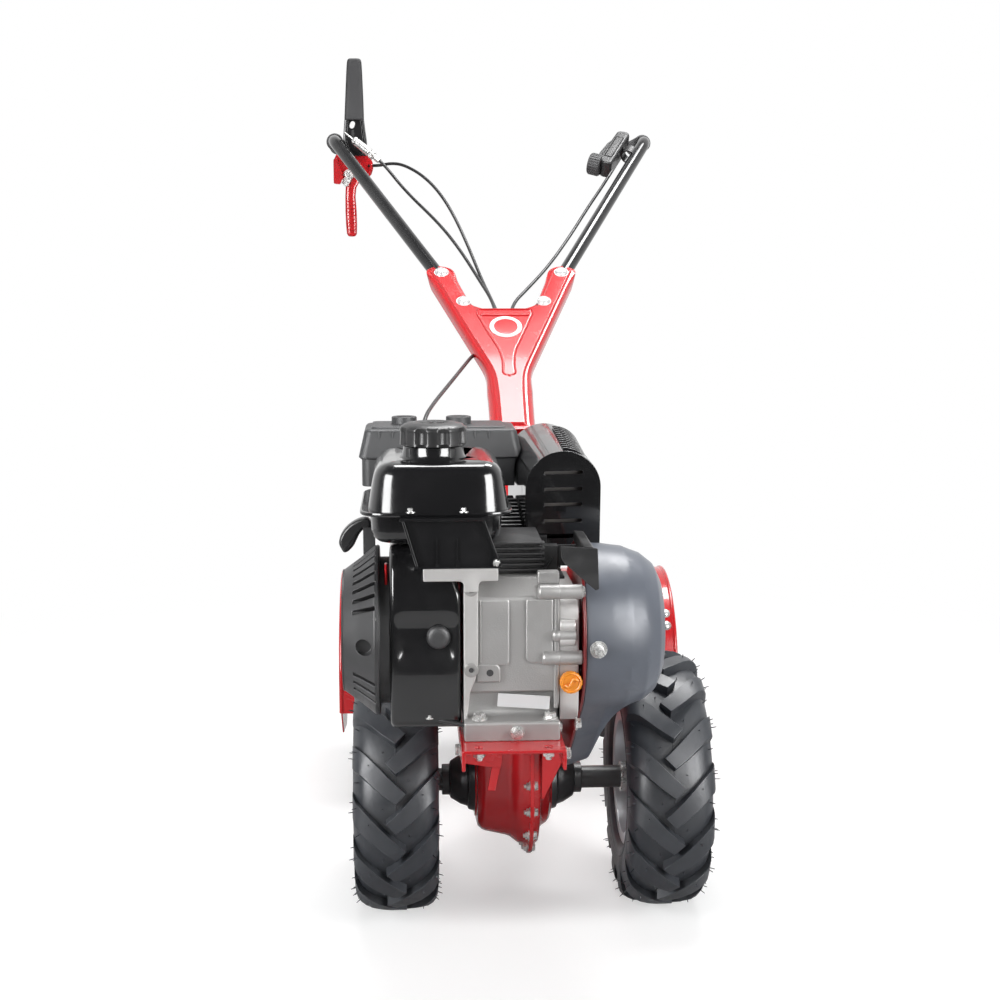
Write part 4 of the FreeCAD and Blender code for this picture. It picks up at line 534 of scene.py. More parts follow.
def soft_box(centre, size, edge, axes=(ACROSS, ALONG, UP), bm=None):
    """A bmesh of a box in mm with rounded upright edges and eased ends, on its own axes."""
    along, side, up = axes
    wide, deep, tall = (value / 2 for value in size)
    corners = [(-wide, -deep), (wide, -deep), (wide, deep), (-wide, deep)]
    ease = min(edge * 0.6, tall * 0.45)
    levels = [(ease, -tall), (ease * 0.3, -tall + ease * 0.3), (0, -tall + ease),
              (0, tall - ease), (ease * 0.3, tall - ease * 0.3), (ease, tall)]
    return pressed(round_corners(corners, edge * 1.6, 4), levels,
                   lambda x, y, z: centre + (along * x + side * y + up * z) * MM, bm)


def cut(form, tool):
    """A bmesh less another one."""
    pieces = [linked(part, mesh_from(shape, part))
              for part, shape in (("form", form), ("tool", tool))]
    opening = pieces[0].modifiers.new("Opening", "BOOLEAN")
    opening.operation, opening.object, opening.solver = "DIFFERENCE", pieces[1], "EXACT"
    settle(pieces[0])
    result = bmesh.new()
    result.from_mesh(pieces[0].data)
    for piece in pieces:
        data = piece.data
        bpy.data.objects.remove(piece)
        bpy.data.meshes.remove(data)
    return result


def softened(bm, width, angle):
    """Rounds the edges of a bmesh that are sharper than an angle."""
    sharp = [edge for edge in bm.edges
             if edge.is_manifold and edge.calc_face_angle(0) > math.radians(angle)]
    bmesh.ops.bevel(bm, geom=sharp, offset=width, segments=2, profile=0.5, affect="EDGES",
                    clamp_overlap=True)
    return bm


def spline_mesh(points, radius, name, sides=5):
    """A round tube along a NURBS spline, as a mesh; its radius is in millimetres."""
    curve = bpy.data.curves.new(name, "CURVE")
    curve.dimensions, curve.resolution_u = "3D", 12
    curve.bevel_depth, curve.bevel_resolution = radius * MM, sides
    curve.use_fill_caps = True
    spline = curve.splines.new("NURBS")
    spline.points.add(len(points) - 1)
    for control, place in zip(spline.points, points):
        control.co = (*place, 1.0)
    spline.order_u = 3
    spline.use_endpoint_u = True
    holder = linked(name, curve)
    mesh = evaluated(holder)
    bpy.data.objects.remove(holder)
    bpy.data.curves.remove(curve)
    return mesh


def welded(node, flat=0.6):
    """A merged copy of a CAD node's mesh, its flat faces made whole again."""
    source = frame["nodes"][node]
    bm = bmesh.new()
    bm.from_mesh(source.data)
    bm.transform(source.matrix_world)
    bmesh.ops.remove_doubles(bm, verts=bm.verts, dist=2e-5)
    bmesh.ops.dissolve_degenerate(bm, edges=bm.edges, dist=1e-6)
    bmesh.ops.dissolve_limit(bm, angle_limit=math.radians(flat), verts=bm.verts, edges=bm.edges)
    return bm


# ------------------------------ repeats

def new_tree(name, inputs):
    """An empty geometry tree with its named inputs, and its starting node."""
    tree = bpy.data.node_groups.new(name, "GeometryNodeTree")
    for label, kind, default in [("Geometry", "NodeSocketGeometry", None), *inputs,
                                 ("Material", "NodeSocketMaterial", None)]:
        socket = tree.interface.new_socket(name=label, in_out="INPUT", socket_type=kind)
        if default is not None:
            socket.default_value = default
    tree.interface.new_socket(name="Geometry", in_out="OUTPUT", socket_type="NodeSocketGeometry")
    return tree, tree.nodes.new("NodeGroupInput")


def end_tree(tree, start, copies):
    """Makes the copies real, gives them their material and closes the tree."""
    real = add(tree, "GeometryNodeRealizeInstances", None, [(0, copies, 0)])
    coated = add(tree, "GeometryNodeSetMaterial", None, [
        ("Geometry", real, 0), ("Material", start, "Material")])
    add(tree, "NodeGroupOutput", None, [("Geometry", coated, 0)])
    return tree


@cache
def turned_copies():
    """Tree that turns copies of a form about an axis through a centre."""
    tree, start = new_tree("Turned copies", [
        ("Count", "NodeSocketInt", 8), ("Start", FLOAT, 0.0), ("Step", FLOAT, 0.5),
        ("Axis", "NodeSocketVector", (1.0, 0.0, 0.0)),
        ("Centre", "NodeSocketVector", (0.0, 0.0, 0.0))])
    points = add(tree, "GeometryNodePoints", None, [("Count", start, "Count")])
    index = add(tree, "GeometryNodeInputIndex")
    angle = add(tree, "ShaderNodeMath", {"operation": "MULTIPLY_ADD"}, [
        (0, index, 0), (1, start, "Step"), (2, start, "Start")])
    turn = add(tree, "FunctionNodeAxisAngleToRotation", None, [
        ("Axis", start, "Axis"), ("Angle", angle, 0)])
    copies = add(tree, "GeometryNodeInstanceOnPoints", None, [
        ("Points", points, 0), ("Instance", start, "Geometry"), ("Rotation", turn, 0)])
    moved = add(tree, "GeometryNodeTranslateInstances", None, [
        ("Instances", copies, 0), ("Translation", start, "Centre")], Local_Space=False)
    return end_tree(tree, start, moved)


@cache
def row_copies():
    """Tree that sets copies of a form in a row at an even step."""
    tree, start = new_tree("Copies in a row", [
        ("Count", "NodeSocketInt", 8), ("Step", "NodeSocketVector", (0.0, 0.01, 0.0))])
    line = add(tree, "GeometryNodeMeshLine", None, [
        ("Count", start, "Count"), ("Offset", start, "Step")])
    copies = add(tree, "GeometryNodeInstanceOnPoints", None, [
        ("Points", line, 0), ("Instance", start, "Geometry")])
    return end_tree(tree, start, copies)


@cache
def marked_copies():
    """Tree that sets a form at marks, each with its facing, its turn and its size."""
    tree, start = new_tree("Fasteners at marks", [("Form", "NodeSocketObject", None)])
    spin, facing, size = (
        add(tree, "GeometryNodeInputNamedAttribute", {"data_type": kind}, Name=name)
        for name, kind in (("spin", "FLOAT"), ("facing", "FLOAT_VECTOR"), ("size", "FLOAT")))
    form = add(tree, "GeometryNodeObjectInfo", None, [("Object", start, "Form")])
    turn = add(tree, "FunctionNodeAxisAngleToRotation", None, [
        ("Angle", spin, "Attribute")], Axis=(0, 0, 1))
    way = add(tree, "FunctionNodeAlignRotationToVector", {"axis": "Z"}, [
        ("Rotation", turn, 0), ("Vector", facing, "Attribute")])
    copies = add(tree, "GeometryNodeInstanceOnPoints", None, [
        ("Points", start, "Geometry"), ("Instance", form, "Geometry"), ("Rotation", way, 0),
        ("Scale", size, "Attribute")])
    return end_tree(tree, start, copies)


def through(tree, mesh, name, **inputs):
    """A plain mesh of what a geometry tree makes from a mesh; inputs are named as sockets."""
    holder = linked(name, mesh)
    modifier = holder.modifiers.new(tree.name, "NODES")
    modifier.node_group = tree
    for item in tree.interface.items_tree:
        if item.item_type == "SOCKET" and item.in_out == "INPUT" and item.name in inputs:
            modifier[item.identifier] = inputs[item.name]
    result = evaluated(holder)
    bpy.data.objects.remove(holder)
    result.name = name
    return result


# ------------------------------ pieces

def linked(name, data):
    """A new object in the scene."""
    piece = bpy.data.objects.new(name, data)
    bpy.context.collection.objects.link(piece)
    return piece


def mesh_from(bm, name):
    """A mesh from a bmesh, which it ends."""
    mesh = bpy.data.meshes.new(name)
    bm.to_mesh(mesh)
    bm.free()
    return mesh


def evaluated(piece):
    """A mesh of what a piece's modifiers or its curve make."""
    graph = bpy.context.evaluated_depsgraph_get()
    graph.update()
    return bpy.data.meshes.new_from_object(
        piece.evaluated_get(graph), preserve_all_data_layers=True, depsgraph=graph)


def settle(piece):
    """Turns a piece's modifiers into its mesh."""
    mesh = evaluated(piece)
    piece.modifiers.clear()
    piece.data = mesh
    mesh.name = piece.name


def put(name, shape, material, body="chassis", replaces=(), edge=0.0, segments=2, angle=32.0):
    """Makes a shape a finished piece: its edges rounded, its material and body set."""
    mesh = mesh_from(shape, name) if isinstance(shape, bmesh.types.BMesh) else shape
    piece = linked(name, mesh)
    mesh.materials.clear()
    mesh.materials.append(finish(material))
    for face in mesh.polygons:
        face.material_index = 0
        face.use_smooth = True
    if edge:
        bevel = piece.modifiers.new("Rounded edges", "BEVEL")
        bevel.width, bevel.segments = edge, segments
        bevel.limit_method, bevel.angle_limit = "ANGLE", math.radians(angle)
        bevel.use_clamp_overlap = False
        bevel.miter_outer = "MITER_ARC"
    else:
        mesh.set_sharp_from_angle(angle=math.radians(angle + 6))
    piece.modifiers.new("Even shading", "WEIGHTED_NORMAL").keep_sharp = True
    settle(piece)
    if isinstance(body, str):
        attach(piece, body)
    else:
        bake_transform(piece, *body)
    if replaces:
        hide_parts(*replaces)


def stands_for(node, shape, material, **options):
    """A new shape that stands for a CAD node."""
    put(node + "_finished", shape, material, BODIES[node], replaces=(node,), **options)


def dressed(material, edge, *nodes, flat=0.6, **options):
    """CAD nodes' own shapes with rounded edges, each standing for its node."""
    for node in nodes:
        stands_for(node, welded(node, flat), material, edge=edge, **options)


def ring_of(name, form, material, body, centre, count, start=0.0, step=None, axis=ACROSS):
    """Copies of a form, made about the origin, turned about an axis through a centre."""
    mesh = through(turned_copies(), mesh_from(form, name), name, Count=count, Start=start,
                   Step=step or 2 * math.pi / count, Axis=tuple(axis), Centre=tuple(centre),
                   Material=finish(material))
    put(name, mesh, material, body)


def row_of(name, form, material, count, step, body="chassis", edge=0.0):
    """Copies of a form in a row."""
    mesh = through(row_copies(), mesh_from(form, name), name, Count=count, Step=tuple(step),
                   Material=finish(material))
    put(name, mesh, material, body, edge=edge)


# (height, radius) of each turned part of a fastener whose radius is one, and its steps round
HEAD = [(0.16, 0.80), (0.66, 0.80), (0.76, 0.70), (0.78, 0.60)]
COLLAR = ([(-0.1, 1.0), (0.14, 1.0), (0.18, 0.96)], 24)
FORMS = {
    "dome": [([(-0.10, 1.0), (0.02, 1.0), (0.05, 0.97), (0.05, 0.90), (0.14, 0.86),
               (0.28, 0.74), (0.40, 0.54), (0.46, 0.30), (0.48, 0.0)], 28)],
    "washer": [([(-0.05, 1.0), (0.10, 1.0), (0.14, 0.96)], 28)],
    "hex": [COLLAR, (HEAD, 6)],
    "nut": [COLLAR, (HEAD + [(0.72, 0.0)], 6), ([(0.6, 0.42), (1.15, 0.42), (1.22, 0.34)], 14)],
}


def marks_on(node, facing, radius, *places):
    """Marks on a CAD node, at places in millimetres from the lowest corner of its box."""
    return [(spot(node, *place), facing, radius) for place in places]


def fasteners(name, marks, kind="hex", material="zinc", body="chassis"):
    """Fasteners at marks, each mark a place, the way it faces and its radius in millimetres."""
    shape = bmesh.new()
    for profile, steps in FORMS[kind]:
        turned(profile, Vector(), UP, steps, bm=shape)
    form = linked(name + " form", mesh_from(shape, name + " form"))
    mesh = bpy.data.meshes.new(name)
    mesh.from_pydata([mark[0] for mark in marks], [], [])
    chance = random.Random(7)
    values = {"facing": ("FLOAT_VECTOR", "vector", [part for mark in marks for part in mark[1]]),
              "size": ("FLOAT", "value", [mark[2] for mark in marks]),
              "spin": ("FLOAT", "value", [chance.uniform(0, 1.0) for mark in marks])}
    for key, (kind, field, numbers) in values.items():
        mesh.attributes.new(key, kind, "POINT").data.foreach_set(field, numbers)
    made = through(marked_copies(), mesh, name, Form=form, Material=finish(material))
    bpy.data.objects.remove(form)
    put(name, made, material, body, angle=24.0)


# ------------------------------ wheels and drive

class BuildTyres(bpy.types.Operator):
    """Carcass, tread lugs and mould whiskers of both tyres"""

    bl_idname = "tiller.tyres"
    bl_label = "Tyres"

    def execute(self, context):
        tread = context.scene.tiller_tyres
        pitch = 2 * math.pi / tread.lugs
        for side, _ in SIDES:
            node, body = f"{side}_tyre", f"{side}_wheel"
            low, high, middle = box_of(node)
            out, top = (high.x - low.x) / 2 / MM, (high.z - low.z) / 2 / MM
            stands_for(node, self.carcass(middle, out, top - tread.lug_height / MM), "rubber")
            for row, past_first in ((-1, 0.5), (1, 0.0)):
                ring_of(f"{side}_tread_{'left' if row < 0 else 'right'}",
                        self.lug(row, out, top, tread), "rubber", body, middle,
                        tread.lugs, -past_first * pitch, -pitch)
            ring_of(f"{side}_whiskers", self.whiskers(out, top, tread.whisker / MM), "rubber",
                    body, middle, tread.lugs, 0.0, -pitch)
        return {"FINISHED"}

    def carcass(self, middle, out, top):
        """The casing: beads, ribbed walls, shoulders and a thin mould line round the crown."""
        rim_low, rim_high, _ = box_of("left_rim")
        base = (rim_high.z - rim_low.z) / 2 / MM - 12
        wall = [(out - 10.5, base), (out - 10.5, base + 12.5), (out - 8.5, base + 15),
                (out - 4.5, base + 17.5), (out - 2.4, base + 20), (out - 1.9, base + 25),
                (out - 1.0, base + 26), (out - 1.0, base + 28), (out - 1.7, base + 29),
                (out - 0.6, base + 35), (out - 0.4, base + 41), (out - 1.0, base + 48),
                (out - 1.7, base + 50.5), (out - 1.4, base + 51.5), (out - 2.6, base + 55),
                (out - 5.2, top - 15), (out - 10.0, top - 8.0), (out - 16, top - 4.2),
                (out - 26, top - 0.6), (out * 0.24, top + 0.3), (1.1, top + 0.4), (0.7, top + 1.1)]
        return turned(wall + [(-x, radius) for x, radius in reversed(wall)], middle, steps=168,
                      closed=True)

    def lug(self, row, out, top, tread):
        """One lug of a row at the front of a tyre, from its tip over the shoulder."""
        # its edges as (across from the middle, angle round the tyre), tip first
        upper = ((tread.lug_overlap / MM, 0.0), (-4, 5.2), (-25, 12.9), (-40, 18.4), (-out, 22.6))
        lower = ((0, -4.5), (-15, -0.9), (-32, 4.6), (-44, 8.9), (-out, 11.0))
        # its outer face as (share of the way out, radius), and its foot under the carcass
        face = ((0.0, top), (0.12, top), (0.3, top - 0.7), (0.48, top - 2.1), (0.66, top - 4.6),
                (0.8, top - 8.5), (0.9, top - 13.5), (0.96, top - 20.0), (0.99, top - 30.0),
                (0.996, top - 39.0), (0.985, top - 46.0))
        shoulder = 6    # the point of the face where the lug turns down the wall
        rings = []
        for order, (share, radius) in enumerate(face):
            over = max(0.0, order - shoulder)
            foot = radius - tread.lug_height / MM - 4 - over * 1.2
            drawn = 0.9 if order else 1.4
            tuck = 0.0 if order < shoulder else 0.9 + over * 0.55
            (xa, turn_a), (xb, turn_b) = self.along(lower, share), self.along(upper, share)
            turn_a, turn_b = turn_a + over * 0.7, turn_b + over
            rings.append([self.wrap(row, *at) for at in (
                (xa, turn_a, radius), (xb, turn_b, radius),
                (xb + tuck, turn_b + drawn, foot), (xa + tuck, turn_a - drawn, foot))])
        return softened(loft(rings), tread.lug_edge, 34)

    def along(self, edge, share):
        """The point at a share of the way from an edge's tip to its outer end."""
        place = share * (len(edge) - 1)
        step = min(int(place), len(edge) - 2)
        part = place - step
        return tuple(a * (1 - part) + b * part for a, b in zip(edge[step], edge[step + 1]))

    def wrap(self, row, across, angle, radius):
        """A place round the tyre, for the row on that side."""
        turn = math.radians(angle)
        return mm(-row * across, -radius * math.cos(turn), radius * math.sin(turn))

    def whiskers(self, out, top, length):
        """The thin rubber hairs that the mould leaves on one pitch of the tread."""
        bm = bmesh.new()
        for row, shift in ((-1, 12.86), (1, 0.0)):
            for across, radius, angle, long, lean in (
                    (-out * 0.97, top - 21.0, 16.5, length, 2.8),
                    (-out * 0.97, top - 31.0, 20.5, length * 0.8, 3.2),
                    (-out * 0.90, top - 14.0, 19.0, length, 1.2),
                    (-out * 0.86, top - 19.0, 5.0, length, 0.75),
                    (-out * 0.62, top - 3.9, 12.4, length * 0.5, 0.1),
                    (-out * 0.30, top - 12.2, 18.5, length * 0.7, 0.0)):
                turn = math.radians(angle + shift)
                way = Vector((row * lean, -math.cos(turn), math.sin(turn))).normalized()
                turned([(-1.5, 0.7), (long * 0.6, 0.6), (long, 0.35)],
                       self.wrap(row, across, angle + shift, radius), way, 6, bm=bm)
        return bm


class BuildWheels(bpy.types.Operator):
    """Rims, hubs, axle bells and their bolts"""

    bl_idname = "tiller.wheels"
    bl_label = "Rims and hubs"

    def execute(self, context):
        for side, sign in SIDES:
            body = f"{side}_wheel"
            low, high, middle = box_of(f"{side}_rim")
            dressed("rim_silver", 0.7 * MM, f"{side}_rim")
            dressed("hub_grey", context.scene.tiller_edges.sheet, f"{side}_hub")
            dressed("coated_steel", 1.2 * MM, f"axle_bell_{side}")
            turns = [math.pi / 4 + step * math.pi / 2 for step in range(4)]
            ways = [(ALONG * math.cos(turn) + UP * math.sin(turn)) * 32 * MM for turn in turns]
            fasteners(f"{side}_wheel_bolts", [
                (middle + mm(sign * 10.5) + way, ACROSS * sign, 8.2) for way in ways], body=body)
            fasteners(f"{side}_wheel_nuts", [
                (middle - mm(sign * 0.5) + way, ACROSS * -sign, 8.0) for way in ways], "nut",
                body=body)
            well = (high.z - low.z) / 2 / MM - 22
            stem = turned([(-3, 5.2), (1.5, 5.2), (4, 3.9), (15, 3.3), (18, 2.6), (18.6, 3.1),
                           (25, 3.1), (26.5, 2.4)],
                          middle + mm(sign * 8, -well * 0.72, well * 0.60),
                          Vector((sign * 0.92, 0.28, -0.26)).normalized(), 20)
            put(f"{side}_valve", stem, "sheath", body)
            collar = turned([(-4, 13.0), (-4, 19.6), (4, 19.6), (5, 18.8), (5, 13.0)],
                            middle - mm(sign * 44), steps=48, closed=True)
            put(f"{side}_hub_collar", collar, "zinc", body, edge=0.6 * MM)
        return {"FINISHED"}


class BuildGearCase(bpy.types.Operator):
    """Gear case halves with their rim of bolts, and the engine bracket on top"""

    bl_idname = "tiller.gear_case"
    bl_label = "Gear case"

    def execute(self, context):
        self.halves()
        self.pressings()
        self.bracket(context.scene.tiller_edges.casting)
        return {"FINISHED"}

    def halves(self):
        """The two pressed shells, bolted together round their flange."""
        # (inset, distance from the seam) of each half, from its flange outwards
        levels = {
            "left": ((0, 0), (0, 2.0), (0.6, 2.6), (11.2, 2.8), (12.0, 3.8), (12.2, 8), (14, 14),
                     (18.5, 20), (22.5, 25), (24.5, 31), (30, 56), (32, 61), (36.5, 66), (44, 68)),
            "right": ((0, 0), (0, 2.0), (0.6, 2.6), (11.2, 2.8), (12.0, 3.8), (12.4, 8),
                      (15, 11), (22, 12.2), (32, 13.5), (36, 18), (39, 23), (44, 27))}
        low, high, _ = box_of("gear_case_left")
        radius, crown = (high.y - low.y) / 2 / MM, (high.z - AXLE.z) / MM
        outline = [Vector((radius * math.cos(turn), radius * math.sin(turn)))
                   for turn in [math.pi * (1 + step / 40) for step in range(41)]]
        outline = divided(outline + [Vector((radius, crown)), Vector((-radius, crown))], 12.0)
        for side, sign in SIDES:
            rings = [[Vector((sign * reach * MM, AXLE.y + at.x * MM,
                              min(AXLE.z + at.y * MM, high.z - inset * 0.2 * MM)))
                      for at in inset_outline(outline, inset)] for inset, reach in levels[side]]
            stands_for(f"gear_case_{side}", loft(rings), "red_enamel", angle=40)
        reach = AXLE.y - low.y - 7.0 * MM
        seats = [(-reach * math.cos(turn), reach * math.sin(turn)) for turn in map(
            math.radians, (34, 12, -10, -35, -62, -90, -118, -145, -170, 168, 146))]
        seats += [(way * reach, up * MM) for up in (96, 122) for way in (-1, 1)]
        for name, kind, sign, size in (("bolts", "hex", 1, 6.6), ("nuts", "nut", -1, 6.4)):
            fasteners("case_" + name, [
                (Vector((sign * 2.5 * MM, AXLE.y + y, AXLE.z + z)), ACROSS * sign, size)
                for y, z in seats], kind)
        fasteners("case_plugs", marks_on("gear_case_right", ACROSS, 9.0, (27, 60, 175)))

    def pressings(self):
        """Round bearing seats pressed out of the shells, and the webs beside them."""
        for side, sign in SIDES:
            low, high, _ = box_of(f"gear_case_{side}")
            face = Vector((low.x if sign < 0 else high.x, AXLE.y, AXLE.z))
            seat = turned([(-4, 49), (0.6, 49), (2.2, 47)], face, ACROSS * sign)
            put(f"bearing_seat_{side}", seat, "red_enamel", edge=0.9 * MM)
            web = pressed(round_corners([(-46, 60), (46, 60), (54, 132), (-54, 132)], 12),
                          [(3.0, -3.0), (1.4, -1.0), (1.0, 0.9), (3.2, 2.0)],
                          lambda x, y, z: face + mm(sign * z, x, y))
            put(f"case_panel_{side}", web, "red_enamel", edge=0.7 * MM)

    def bracket(self, edge):
        """The folded engine bracket with its gussets and bolts, and the stop bar."""
        node = "engine_bracket"
        dressed("red_enamel", edge, node)
        fasteners("bracket_nuts", marks_on(node, -UP, 8.6, (19.5, 14, 72), (95.5, 14, 72),
                                           (19.5, 150, 72), (95.5, 150, 72)), "nut")
        fasteners("bracket_side_bolts",
                  marks_on(node, ACROSS, 8.0, (114, 20, 66), (114, 120, 66))
                  + marks_on(node, -ACROSS, 8.0, (0, 40, 66)))
        low, high, _ = box_of(node)
        bm = bmesh.new()
        for across in (22, 86):
            start = Vector((low.x + across * MM, low.y + 165 * MM, high.z - 4 * MM))
            plates(lambda x, y, z: start + mm(z, x, y), (
                [(0, 0), (58, 0), (58, -6), (16, -44), (0, -50)], [1, 1, 2, 14, 4], 6,
                [(0, -2), (0, 2)]), bm=bm)
        for corners, depth in (([(7, 14), (34, 14), (31, -5), (9.5, -50), (6.5, -50)], 150),
                               ([(-93, 43), (-93, 25), (-48, 17.5), (-44, 43)], 234),
                               ([(-57.5, 30), (-64, -9), (-54, -9), (-46, 30)], 233.6)):
            plates(seen_from_front(Vector((0, AXLE.y - depth * MM, low.z))), (
                corners, 1.2, 3, [(0.6, 0), (0, 0.6), (0, 3.0)]), bm=bm)
        put("bracket_gussets", bm, "red_enamel", edge=0.7 * MM)
        bar = [spot(node, *place) for place in (
            (-42, 60, 97), (-26, 56, 96), (-4, 52, 92), (10, 50, 90), (20, 52, 84))]
        put("stop_bar", spline_mesh(bar, 2.6, "stop_bar"), "coated_steel")
        fasteners("stop_bar_bolts", marks_on(node, UP, 5.4, (-34, 56, 98))
                  + marks_on(node, UP, 5.8, (12, 50, 92)))


# ------------------------------ engine

class BuildCrankcase(bpy.types.Operator):
    """Cast crankcase, its cover, cylinder and the fittings on its front"""

    bl_idname = "tiller.crankcase"
    bl_label = "Crankcase"

    def execute(self, context):
        cast = context.scene.tiller_edges.casting
        self.body()
        # the cover takes the lighter copy of the casting, as painted light
        dressed("cover_casting", cast, "crankcase_cover")
        # the cylinder takes the dark copy of the casting, as painted shade
        dressed("dark_casting", 0.6 * MM, "finned_cylinder")
        dressed("satin_black", cast, "valve_cover")
        dressed("casting", cast, "carburettor")
        dressed("zinc", 0.5 * MM, "drain_plug")
        self.front()
        self.fittings()
        self.dipstick()
        return {"FINISHED"}

    def body(self):
        """The block: a sloped front with its foot, a side strip and a shelf on top."""
        low, high, _ = box_of("crankcase")
        wide, deep, tall = (high - low) / MM
        left = 44.0    # where the block starts under the shelf
        long = wide - left
        block = plates(lambda y, z, x: low + mm(left + x, y, z), (
            [(0, 0), (0, 21.5), (22.5, 24), (25, 34), (25, 49.5), (17.5, 51.5), (17.5, 157),
             (40, 178), (deep, tall - 14), (deep, 0)], [1.5, 3.5, 9, 5, 2, 2, 4, 5, 8, 2], 5,
            [(2.4, 0), (0.7, 0.7), (0, 2.4), (0, long - 2.4), (0.7, long - 0.7), (2.4, long)]))
        stands_for("crankcase", block, "casting", angle=38)
        strip = ([(left, 2), (left, tall), (60, tall), (60, 84), (57, 66), (51, 54), (48, 26),
                  (47.5, 2)], [1, 2, 2, 10, 14, 14, 6, 1], 4,
                 [(1.6, 0), (0.5, 0.5), (0, 1.6), (0, 12)])
        shelf = ([(0, tall), (0, tall - 14), (44, tall - 14), (44, tall - 26), (60, tall - 26),
                  (60, tall - 14), (81.5, tall - 14), (81.5, tall)],
                 [1.5, 2, 7, 2, 2, 9, 2, 1.5], 4, [(1.2, -11.6), (0.4, -11.2), (0, -10.4), (0, 30)])
        # the side strip and the shelf take the lighter copy of the casting, as painted light where they
        # catch the lamps
        put("crankcase_shelf", plates(seen_from_front(low + mm(0, 12)), strip, shelf),
            "cover_casting", angle=38)

    def front(self):
        """Pads, bosses and barrels cast on the crankcase's front, and dark discs as painted shade in its
        holes.
        """
        low = box_of("crankcase")[0]
        rise = [(1.8, -1), (1.8, 0), (0.9, 0.9), (0, 1.3), (1.0, 1.9), (2.2, 2.1)]
        bm = plates(
            lambda x, z, y: low + mm(x, 17.5 - y, z),
            ([(62, 82), (94.5, 82), (94.5, 156), (62, 156)], [4, 4, 3, 3], 5, rise),
            ([(113, 84), (143, 84), (143, 156), (113, 156)], [8, 3, 3, 3], 5, rise),
            ([(58, 63), (85, 63), (85, 84), (58, 84)], [2, 3, 9, 2], 6,
             [(0, -1), (0, 1.6), (0.8, 2.8), (2.0, 3.2)]),
            ([(144, 32), (149.8, 32), (149.8, 172), (144, 172)], 1.5, 3,
             [(0, -6), (0, 1.4), (0.7, 2.6), (1.8, 3.0)]),
            ([(126, 172), (150, 172), (150, 186), (126, 186)], 2.5, 3,
             [(0, -14), (0, -3), (0.8, -2.2), (2, -2.0)]))
        # barrels that cross the seam, each with a waist at the joint
        ends = (box_of("crankcase_cover")[1].x - low.x) / MM
        for across, up, radius, reach in ((126, 164, 8.2, 0.2), (142, 115, 7.0, 6.5),
                                          (131, 89.5, 8.0, 0.2)):
            long, waist = ends - across - reach, 149.8 - across
            turned([(0, radius - 1.8), (1.8, radius - 0.2), (3, radius), (waist - 0.8, radius),
                    (waist - 0.2, radius - 0.5), (waist + 0.4, radius), (long - 1.5, radius),
                    (long, radius - 1.5)], low + mm(across, 17.0, up), steps=32, bm=bm)
        for up in (169, 78):
            turned([(-2, 8.2), (0.6, 8.0), (1.5, 7.0), (1.5, 4.0), (0.4, 3.2)],
                   low + mm(52.2, 12, up), -ALONG, 32, bm=bm)
        put("crankcase_pads", bm, "casting", angle=34)
        # dark discs set in the holes: painted shade, not openings
        hole_shade = bmesh.new()
        for place, radius in (((52.2, 11.5, 169), 2.7), ((52.2, 11.5, 78), 2.7),
                              ((73, 14.4, 74), 3.9)):
            turned([(-1, radius), (0.25, radius)], low + mm(*place), -ALONG, 24, bm=hole_shade)
        put("crankcase_holes", hole_shade, "starter_black")

    def fittings(self):
        """The blank plate, the bolts, and the finned foot of the cylinder."""
        node = "crankcase"
        tilt = math.radians(4.3)
        along = Vector((math.cos(tilt), 0, -math.sin(tilt)))
        plate = soft_box(spot(node, 110.5, 16.6, 40.5), (58, 1.6, 15), 0.8,
                         (along, ALONG, Vector((math.sin(tilt), 0, math.cos(tilt)))))
        put("blank_plate", plate, "label")
        fasteners("crankcase_bolts", marks_on(node, UP, 8.6, (61.0, 11, 23), (139.6, 11, 23)))
        fasteners("drain_plug_head", marks_on(node, -ALONG, 7.8, (102.4, 0.2, 9.5)))
        ends = (box_of("crankcase_cover")[1].x - box_of(node)[0].x) / MM
        fasteners("cover_bolts", marks_on(node, ACROSS, 7.6, (ends - 4, 17, 164),
                                          (ends - 4, 17, 89.5), (ends - 7, 17, 14)))
        # the foot and its fins take the dark copy of the casting, as painted shade
        put("cylinder_foot", soft_box(spot(node, 98, 102, 196), (72, 96, 36), 2.0), "dark_casting")
        fin = soft_box(spot(node, 98, 52, 183), (76, 10, 2.2), 0.7)
        row_of("foot_fins", fin, "dark_casting", 6, mm(0, 0, 6))

    def dipstick(self):
        """Orange oil cap with a raised S-shaped grip."""
        _, high, middle = box_of("oil_dipstick")
        start = Vector((middle.x, high.y, middle.z))
        cap = turned([(0, 7.6), (3, 7.6), (3.4, 11.4), (4.4, 12.4), (9.6, 12.4), (10.8, 11.6),
                      (11.2, 10.2), (10.2, 9.0)], start, -ALONG, 72,
                     lambda radius, along, turn: radius + (
                         0.22 * MM * math.cos(18 * turn) if 4.2 * MM < along < 9.8 * MM else 0))
        ridge = spline_mesh([start + mm(x, -11.2, z) for x, z in (
            (-7.4, -2.2), (-4.6, -5.2), (-1.6, -3.4), (0, 0), (1.6, 3.4), (4.6, 5.2), (7.4, 2.2))],
            1.7, "ridge", sides=4)
        cap.from_mesh(ridge)
        bpy.data.meshes.remove(ridge)
        stands_for("oil_dipstick", cap, "orange", angle=30)


